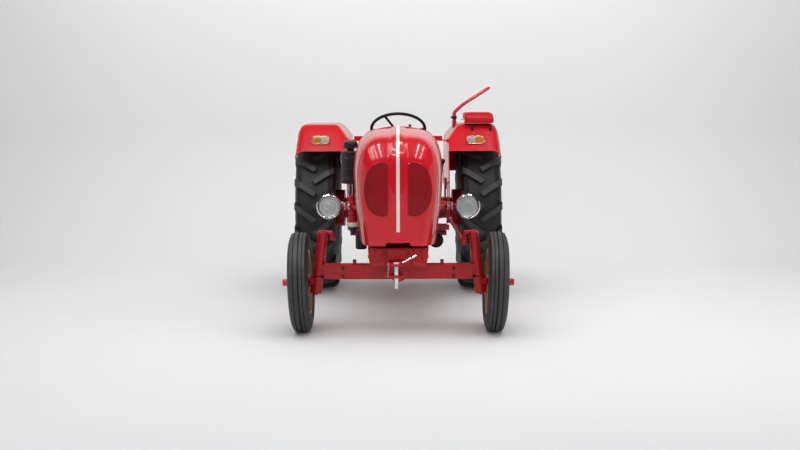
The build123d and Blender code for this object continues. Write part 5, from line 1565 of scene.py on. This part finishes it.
def make_controls(look):
    """Steering wheel's cap, grip and sleeves, knobs, the hand throttle, pedal pads and step plates."""
    axis = wheel_axis()
    centre = at(*WHEEL_CENTRE)
    place = aim(centre, axis)
    bm = bmesh.new()
    lathe(bm, place, [(-7, 29), (-6, 30.6), (-3, 30.6), (-1, 27), (3, 15), (5, 0)], 32)
    lathe(bm, place, [(-62, 24), (-62, 31), (-59, 31), (-58, 24)], 32)
    add_piece("steering_cap", bm, "steering_wheel", "bright_metal", "zinc")
    bm = bmesh.new()
    # Finger ridges on the inside of the rim
    for i in range(RIM_GRIPS):
        a = 2 * math.pi * i / RIM_GRIPS
        spot = place @ Matrix.Translation(polar(200.4, a)) @ Matrix.Rotation(a, 4, "Z")
        lathe(bm, spot @ Matrix.Rotation(math.pi / 2, 4, "X"),
              [(-5, 0), (-4, 2.2), (0, 3.0), (4, 2.2), (5, 0)], 8)
    add_piece("steering_grip", bm, "steering_wheel", "black_paint", "black_plastic")
    # The spokes' plastic sleeves, from the hub out to the rim
    bm = bmesh.new()
    down = Vector((0, math.cos(WHEEL_TILT), -math.sin(WHEEL_TILT)))
    for angle in (0, 120, 240):
        a = math.radians(angle)
        way = Vector((math.cos(a), 0, 0)) + down * math.sin(a)
        inner, outer = centre + way * mm(22) - axis * mm(34), centre + way * mm(209)
        tube(bm, [inner.lerp(outer, t) for t in (0.22, 0.26, 0.90, 1.0)], [7.0, 9.0, 10.0, 11.5], segments=14)
    add_piece("spoke_sleeves", bm, "steering_wheel", "black_paint", "black_plastic")

    bm = bmesh.new()
    for spot, r in ((at(40, 1560, 1056), 20.5), (at(347, 1400, 1068), 17.5), (at(92, 1500, 1340), 11)):
        profile = [(r * math.sin(math.radians(b)), r * math.cos(math.radians(b))) for b in range(-90, 91, 15)]
        lathe(bm, aim(spot, (0, 0.1, 1)), profile, 24)
        lathe(bm, aim(spot, (0, 0.1, -1)), [(r * 0.8, r * 0.7), (r * 1.35, r * 0.55), (r * 1.4, 0)], 20)
    add_piece("lever_knobs", bm, "chassis", "black_paint", "black_plastic")
    bm = bmesh.new()
    line = smooth_line([at(92, 1346, 1236), at(92, 1400, 1262), at(92, 1470, 1318), at(92, 1498, 1336)], 6)
    tube(bm, line, 3.6, segments=10)
    lathe(bm, aim(at(92, COWL_REAR, 1237), BACK), [(-1, 12), (4, 12), (6, 9), (6, 4)], 18)
    for x in (-218, 218):
        lathe(bm, aim(at(x, 1240, 640), LEFT), [(-7, 8), (-7, 12), (7, 12), (7, 8)], 20)
    add_piece("hand_throttle", bm, "chassis", "bright_metal", "zinc")

    bm = bmesh.new()
    for x in (-232, 232):
        spot = at(x, 1266, 741)
        prism(bm, Matrix.Translation(spot) @ Matrix.Rotation(-math.pi / 2, 4, "X"),
              oblong(34, -23, 23), 4.5)
        for i in range(6):
            tube(bm, [at(x - 31, 1270.6, 723 + i * 7.4), at(x + 31, 1270.6, 723 + i * 7.4)], 1.7, segments=6)
    add_piece("pedal_pads", bm, "chassis", "tyre_rubber", "tyre_rubber")

    # Raised bars of the step plates, laid crosswise in turn
    bm = bmesh.new()
    for row in range(21):
        for column in range(11):
            x, y = 166 + column * 20.8, 1256 + row * 20.8
            turn = math.radians(45 if (row + column) % 2 else -45)
            spot = Matrix.Translation(at(x, y, FOOTPLATE_TOP)) @ Matrix.Rotation(turn, 4, "Z")
            prism(bm, spot, [(-8, -1.4), (0, -2.4), (8, -1.4), (8, 1.4), (0, 2.4), (-8, 1.4)], 1.6)
    add_pair("step_plate_bars", bm, "chassis", "red_paint", "red_casting")


# Rear

AXLE_REAR = 2190.0


def make_tail_lamps(look):
    """Bright rims of the rear lamps and the moulded rings of their lenses."""
    bm = bmesh.new()
    place = aim(at(610, 2632, 1100), BACK)
    ring(bm, place, [(-4, 42.2), (-4, 44.4), (0.6, 44.4), (2.2, 42.6), (2.2, 39.5), (0.2, 38.6)], 48)
    add_pair("tail_lamp_rim", bm, "chassis", "bright_metal", "chrome")
    bm = bmesh.new()
    for i in range(3):
        r = 34 - i * 10
        ring(bm, place, [(-0.4, r), (0.8, r - 1), (0.8, r - 4), (-0.4, r - 5)], 40)
    add_pair("tail_lamp_prisms", bm, "chassis", "signal_lens", "red_lens")


def make_rear_trim(look):
    """Axle case bolts, the drive stub's bolts and splines, the drawbar's nuts and the bare plate."""
    bm = bmesh.new()
    for x in (-128, -64, 0, 64, 128):
        for z in (492, 812):
            bolt(bm, at(x, AXLE_REAR, z), BACK, 12)
    for x in (-128, 128):
        for z in (572, 652, 732):
            bolt(bm, at(x, AXLE_REAR, z), BACK, 12)
    for side in (-1, 1):
        for i in range(10):
            a = 2 * math.pi * i / 10 + 0.2
            bolt(bm, at(side * 532, 2000 + 128 * math.cos(a), 655 + 128 * math.sin(a)), (side, 0, 0), 10)
    add_piece("axle_case_bolts", bm, "chassis", "bright_metal", "zinc")

    bm = bmesh.new()
    place = aim(at(0, AXLE_REAR, 610), BACK)
    for i in range(6):
        a = math.radians(60 * i + 30)
        spot = place @ Matrix.Translation(polar(42, a, 12))
        lathe(bm, spot, [(0, 7), (5, 7), (6, 6), (6, 0)], 6)
    # Splines of the drive stub
    for i in range(6):
        a = math.radians(60 * i)
        spot = place @ Matrix.Rotation(a, 4, "Z") @ Matrix.Translation((mm(16.2), 0, mm(16)))
        prism(bm, spot, [(0, -3.4), (2.2, -3.4), (2.2, 3.4), (0, 3.4)], 76)
    add_piece("drive_stub_trim", bm, "chassis", "bright_metal", "worn_steel")

    bm = bmesh.new()
    for x in (-30, 30):
        lathe(bm, aim(at(x, 2330, 428), UP), [(0, 0), (0, 9), (14, 9), (16, 7), (16, 0)], 6)
    # Retaining loops beside the lower links' eyes
    for side in (-1, 1):
        eye = at(side * 265, 2560, 521)
        loop = [eye + Vector((mm(side * 21.5), mm(30 * math.cos(a)), mm(30 * math.sin(a))))
                for a in (2 * math.pi * k / 20 for k in range(20))]
        tube(bm, loop, 2.2, segments=6, closed=True)
    add_piece("drawbar_bolts", bm, "chassis", "bright_metal", "zinc")

    # A bare plate on the right fender's back
    bm = bmesh.new()
    spot = Matrix.Translation(at(-600, 2634, 990)) @ Matrix.Rotation(-math.pi / 2, 4, "X")
    outline = [(-90, -62), (90, -62), (96, -56), (96, 56), (90, 62), (-90, 62), (-96, 56), (-96, -56)]
    prism(bm, spot, outline, 2.4)
    for dx in (-70, 70):
        bolt(bm, at(-600 + dx, 2636.4, 990), BACK, 6)
    add_piece("blank_plate", bm, "chassis", "bright_metal", "zinc", bevel=0.5)


# Studio

CAMERA = (0.012, -9.0415, 1.51)
CAMERA_TILT = 5.77
CAMERA_ROLL = -0.19
LENS = 54.0
SENSOR = 36.0
WALL_Y = 3.4
COVE_R = 1.3
COVE_HALF = 14.0
BACKDROP = 0.72
FLOOR_FADE = (6.2, 10.0)
PANEL_ROWS = (-2.9, -2.2, -1.5, -0.8, 1.0, 1.9)
PANEL_COUNT = 15
PANEL_FIRST = -5.6
PANEL_STEP = 0.36
PANEL_HALF = (0.09, 0.06)
PANEL_Z = 4.3
PANEL_GLOW = 45.0
SHADE_Z = 5.2
SHADE_Y = -13.0


def stage_material(name, colour):
    """Matt paint for the floor and the wall, with a faint unevenness."""
    material, g, shader = new_finish(name)
    place = g.place()
    cloud = g.noise(place, 0.8, 3.0)
    deep = tuple(c * 0.985 for c in colour)
    g.put(shader, "Base Color", g.mix(g.span(cloud, 0.35, 0.65), deep, colour))
    g.put(shader, "Roughness", 0.9)
    g.put(shader, "Specular IOR Level", 0.15)
    # From behind the wall isn't there, and the floor thins out far from the tractor
    distance = g.add("ShaderNodeVectorMath", {0: place}, operation="LENGTH").outputs["Value"]
    backfacing = g.add("ShaderNodeNewGeometry").outputs["Backfacing"]
    behind = g.math("MAXIMUM", backfacing, g.span(distance, *FLOOR_FADE))
    clear = g.add("ShaderNodeBsdfTransparent")
    both = g.add("ShaderNodeMixShader", {0: behind, 1: shader.outputs[0], 2: clear.outputs[0]})
    g.add("ShaderNodeOutputMaterial", {"Surface": both.outputs[0]}, is_active_output=True)
    return material


def add_stage_mesh(name, bm, material, unseen_by=()):
    """Makes a stage object of a mesh, hidden from the named kinds of ray."""
    mesh = bpy.data.meshes.new(name)
    bm.to_mesh(mesh)
    bm.free()
    obj = bpy.data.objects.new(name, mesh)
    bpy.context.scene.collection.objects.link(obj)
    mesh.materials.append(material)
    for kind in unseen_by:
        setattr(obj, "visible_" + kind, False)


def make_cove(look):
    """The pale floor running up into the wall as one soft curve."""
    bm = bmesh.new()
    rows = []
    line = [(-COVE_HALF, 0.0), (-4.0, 0.0), (WALL_Y - COVE_R, 0.0)]
    for i in range(1, 17):
        a = math.pi / 2 * i / 16
        line.append((WALL_Y - COVE_R + COVE_R * math.sin(a), COVE_R - COVE_R * math.cos(a)))
    line += [(WALL_Y, 4.0), (WALL_Y, 9.0)]
    for y, z in line:
        rows.append([bm.verts.new((x, y, z - 0.0004)) for x in (-COVE_HALF, 0, COVE_HALF)])
    for a, b in zip(rows, rows[1:]):
        for k in range(2):
            bm.faces.new((a[k], a[k + 1], b[k + 1], b[k]))
    for face in bm.faces:
        face.smooth = True
        if face.normal.z < -0.01 or face.calc_center_median().z > COVE_R and face.normal.y > 0:
            face.normal_flip()
    add_stage_mesh("cove", bm, stage_material("cove_paint", (look.wall_shade,) * 3))


def area_light(name, place, target, size, power):
    """A soft rectangular lamp aimed at a point. It lights the tractor and isn't mirrored in its paint."""
    data = bpy.data.lights.new(name, "AREA")
    data.shape, data.size, data.size_y = "RECTANGLE", size[0], size[1]
    data.energy = power
    lamp = bpy.data.objects.new(name, data)
    lamp.location = place
    lamp.rotation_euler = (Vector(target) - Vector(place)).to_track_quat("-Z", "Y").to_euler()
    lamp.visible_glossy = False
    bpy.context.scene.collection.objects.link(lamp)


def glow_material():
    """Plain glowing panels, seen in reflections."""
    material, g, shader = new_finish("glow_panel")
    g.put(shader, "Base Color", (0.0, 0.0, 0.0, 1.0))
    g.put(shader, "Emission Color", (1.0, 1.0, 1.0, 1.0))
    g.put(shader, "Emission Strength", PANEL_GLOW)
    return material


def make_glow_panels():
    """Rows of small glowing panels overhead, seen only where the paint and the chrome mirror them."""
    bm = bmesh.new()
    long, wide = PANEL_HALF
    for x in PANEL_ROWS:
        for k in range(PANEL_COUNT):
            y = PANEL_FIRST + PANEL_STEP * k
            bm.faces.new([bm.verts.new((x + dx, y + dy, PANEL_Z)) for dx, dy in oblong(long, -wide, wide)])
    add_stage_mesh("ceiling_panels", bm, glow_material(), ("diffuse", "camera"))


def make_reflection_shades():
    """Two dark sheets, overhead and behind the camera, seen only where paint and chrome mirror them."""
    bm = bmesh.new()
    half = COVE_HALF
    for near, far, low in ((SHADE_Y, 2.4, SHADE_Z), (SHADE_Y, SHADE_Y, 0.0)):
        bm.faces.new([bm.verts.new(corner) for corner in (
            (-half, near, low), (half, near, low), (half, far, SHADE_Z), (-half, far, SHADE_Z))])
    material, g, shader = new_finish("hall_shade")
    g.put(shader, "Base Color", (0.05, 0.05, 0.05, 1.0))
    g.put(shader, "Roughness", 0.9)
    add_stage_mesh("dark_hall", bm, material, ("camera", "diffuse", "shadow", "transmission"))


def make_stage(look):
    """Floor and wall, soft lamps, what the paint mirrors, the world and the camera."""
    make_cove(look)
    make_glow_panels()
    make_reflection_shades()
    scene = bpy.context.scene
    power = look.lamp_power
    area_light("top_lamp", (0, -1.2, 4.8), (0, 0, 0.4), (7.0, 6.0), power)
    area_light("front_lamp", (-2.4, -8.2, 3.4), (0, -0.8, 0.8), (4.5, 2.6), power * 0.42)
    area_light("right_lamp", (5.2, -3.6, 2.6), (0, -0.4, 0.8), (3.0, 3.0), power * 0.22)
    area_light("wall_lamp", (0, 1.9, 4.6), (0, WALL_Y + 0.6, 1.2), (9.0, 1.0), power * 0.18)
    world = bpy.data.worlds.new("studio")
    world.use_nodes = True
    background = world.node_tree.nodes["Background"]
    background.inputs["Color"].default_value = (0.93, 0.96, 1.0, 1)
    background.inputs["Strength"].default_value = look.world_strength
    # The world itself shows the camera, metal and glass a value as pale as the wall
    g = Graph(world.node_tree)
    paths = g.add("ShaderNodeLightPath").outputs
    direct = g.math("MAXIMUM", paths["Is Camera Ray"], g.math("MAXIMUM", paths["Is Glossy Ray"],
                                                              paths["Is Transmission Ray"]))
    seen = g.add("ShaderNodeBackground", {"Color": (BACKDROP, BACKDROP, BACKDROP, 1.0), "Strength": 1.0})
    both = g.add("ShaderNodeMixShader", {0: direct, 1: background.outputs[0], 2: seen.outputs[0]})
    g.add("ShaderNodeOutputWorld", {"Surface": both.outputs[0]}, is_active_output=True)
    scene.world = world
    data = bpy.data.cameras.new("camera")
    data.lens, data.sensor_width = LENS, SENSOR
    camera = bpy.data.objects.new("camera", data)
    camera.location = CAMERA
    look_along = Matrix.Rotation(math.radians(90 - CAMERA_TILT), 4, "X") @ Matrix.Rotation(
        math.radians(CAMERA_ROLL), 4, "Z")
    camera.rotation_euler = look_along.to_euler()
    scene.collection.objects.link(camera)
    scene.camera = camera
    scene.view_settings.view_transform = "Standard"


# Add-on classes

class TractorLook(bpy.types.PropertyGroup):
    """Sizes and colours that can be changed before the pieces are built."""
    paint: bpy.props.FloatVectorProperty(
        name="Paint", description="Body and casting paint, linear", subtype="COLOR", size=3, min=0, max=1,
        default=RED)
    rim: bpy.props.FloatVectorProperty(
        name="Rims", description="Paint of the wheel rims, linear", subtype="COLOR", size=3, min=0, max=1,
        default=(0.43, 0.28, 0.11))
    seat: bpy.props.FloatVectorProperty(
        name="Seats", description="Cover of the seat cushions, linear", subtype="COLOR", size=3, min=0, max=1,
        default=(0.56, 0.006, 0.014))
    mesh_pitch: bpy.props.FloatProperty(
        name="Mesh pitch", description="Distance between the grille's holes", subtype="DISTANCE",
        unit="LENGTH", min=0.004, max=0.03, default=0.009)
    piping: bpy.props.FloatProperty(
        name="Piping", description="Radius of the cushions' piping", subtype="DISTANCE", unit="LENGTH",
        min=0.001, max=0.01, default=0.0042)
    cushion_pressure: bpy.props.FloatProperty(
        name="Cushion pressure", description="Air pressure that fills the cushions", min=0.5, max=10,
        default=4.0)
    wall_shade: bpy.props.FloatProperty(
        name="Wall shade", description="Paleness of the floor and the wall, linear", subtype="FACTOR",
        min=0, max=1, default=0.77)
    lamp_power: bpy.props.FloatProperty(
        name="Lamp power", description="Power of the overhead lamp", unit="POWER", min=0, max=5000,
        default=265)
    world_strength: bpy.props.FloatProperty(
        name="World strength", description="Strength of the surrounding light", min=0, max=3, default=0.3)


class Builder:
    """What every operator shares: it runs its makers in order."""
    bl_options = {"REGISTER", "UNDO"}
    makers = ()

    def execute(self, context):
        for maker in self.makers:
            maker(context.scene.tractor_look)
        return {"FINISHED"}


class TRACTOR_OT_finishes(Builder, bpy.types.Operator):
    """Gives every solid of the frame its paint, metal, rubber or glass"""
    bl_idname = "tractor.finishes"
    bl_label = "Node finishes"
    makers = (paint_nodes,)


class TRACTOR_OT_hood(Builder, bpy.types.Operator):
    """The hood's skin with its bright strip, grille sheets, seams and fasteners"""
    bl_idname = "tractor.hood"
    bl_label = "Hood"
    makers = (make_hood_shell, make_nose_strip, make_grille_mesh, make_hood_trim)


class TRACTOR_OT_headlamps(Builder, bpy.types.Operator):
    """Chrome rims, reflectors, bulbs and ribbed glasses"""
    bl_idname = "tractor.headlamps"
    bl_label = "Headlamps"
    makers = (make_headlamps,)


class TRACTOR_OT_signals(Builder, bpy.types.Operator):
    """Rims and lens plates of the indicators and rear lamps"""
    bl_idname = "tractor.signals"
    bl_label = "Signal lamps"
    makers = (make_indicators, make_tail_lamps)


class TRACTOR_OT_front_wheels(Builder, bpy.types.Operator):
    """Nuts, caps, valves and sidewall rings of the front wheels"""
    bl_idname = "tractor.front_wheels"
    bl_label = "Front wheel trim"
    makers = (make_front_wheel_trim,)


class TRACTOR_OT_rear_wheels(Builder, bpy.types.Operator):
    """Nuts, valves and sidewall rings of the driven wheels"""
    bl_idname = "tractor.rear_wheels"
    bl_label = "Rear wheel trim"
    makers = (make_rear_wheel_trim,)


class TRACTOR_OT_front_axle(Builder, bpy.types.Operator):
    """Bolts, nipples and caps of the axle and the carrier, and the tow pin's chain"""
    bl_idname = "tractor.front_axle"
    bl_label = "Front axle trim"
    makers = (make_axle_trim,)


class TRACTOR_OT_engine(Builder, bpy.types.Operator):
    """Fasteners, pipes, bands and clips of the engine and the air cleaner"""
    bl_idname = "tractor.engine"
    bl_label = "Engine trim"
    makers = (make_engine_trim,)


class TRACTOR_OT_controls(Builder, bpy.types.Operator):
    """Dials, switches, pedal pads, knobs and the steering wheel's grip"""
    bl_idname = "tractor.controls"
    bl_label = "Controls"
    makers = (make_cowl_trim, make_controls)


class TRACTOR_OT_fenders(Builder, bpy.types.Operator):
    """Pressed skins, inner walls, rolled edges and bolt rows"""
    bl_idname = "tractor.fenders"
    bl_label = "Fenders"
    makers = (make_fenders, make_fender_trim)


class TRACTOR_OT_seats(Builder, bpy.types.Operator):
    """Stuffed cushions with piping and seams, and the seat frames' fasteners"""
    bl_idname = "tractor.seats"
    bl_label = "Seats"
    makers = (make_seats,)


class TRACTOR_OT_rear(Builder, bpy.types.Operator):
    """Bolts of the axle case, drive stub splines, drawbar nuts and the bare plate"""
    bl_idname = "tractor.rear"
    bl_label = "Rear trim"
    makers = (make_rear_trim,)


class TRACTOR_OT_stage(Builder, bpy.types.Operator):
    """Floor, wall, lamps, mirrored panels and sheets, world and camera"""
    bl_idname = "tractor.stage"
    bl_label = "Studio"
    makers = (make_stage,)


class TRACTOR_PT_panel(bpy.types.Panel):
    """The look's settings and the operators in their order."""
    bl_label = "Tractor"
    bl_idname = "TRACTOR_PT_panel"
    bl_space_type = "VIEW_3D"
    bl_region_type = "UI"
    bl_category = "Tractor"

    def draw(self, context):
        for key in TractorLook.__annotations__:
            self.layout.prop(context.scene.tractor_look, key)
        for kind in OPERATORS:
            self.layout.operator(kind.bl_idname)


OPERATORS = (
    TRACTOR_OT_finishes, TRACTOR_OT_hood, TRACTOR_OT_headlamps, TRACTOR_OT_signals,
    TRACTOR_OT_front_wheels, TRACTOR_OT_rear_wheels, TRACTOR_OT_front_axle, TRACTOR_OT_engine,
    TRACTOR_OT_controls, TRACTOR_OT_fenders, TRACTOR_OT_seats, TRACTOR_OT_rear, TRACTOR_OT_stage,
)
CLASSES = (TractorLook,) + OPERATORS + (TRACTOR_PT_panel,)


def register():
    for kind in CLASSES:
        bpy.utils.register_class(kind)
    bpy.types.Scene.tractor_look = bpy.props.PointerProperty(type=TractorLook)


def unregister():
    del bpy.types.Scene.tractor_look
    for kind in reversed(CLASSES):
        bpy.utils.unregister_class(kind)


def main():
    register()
    for kind in OPERATORS:
        group_name, _, name = kind.bl_idname.partition(".")
        getattr(getattr(bpy.ops, group_name), name)()


if __name__ == "__main__":
    main()
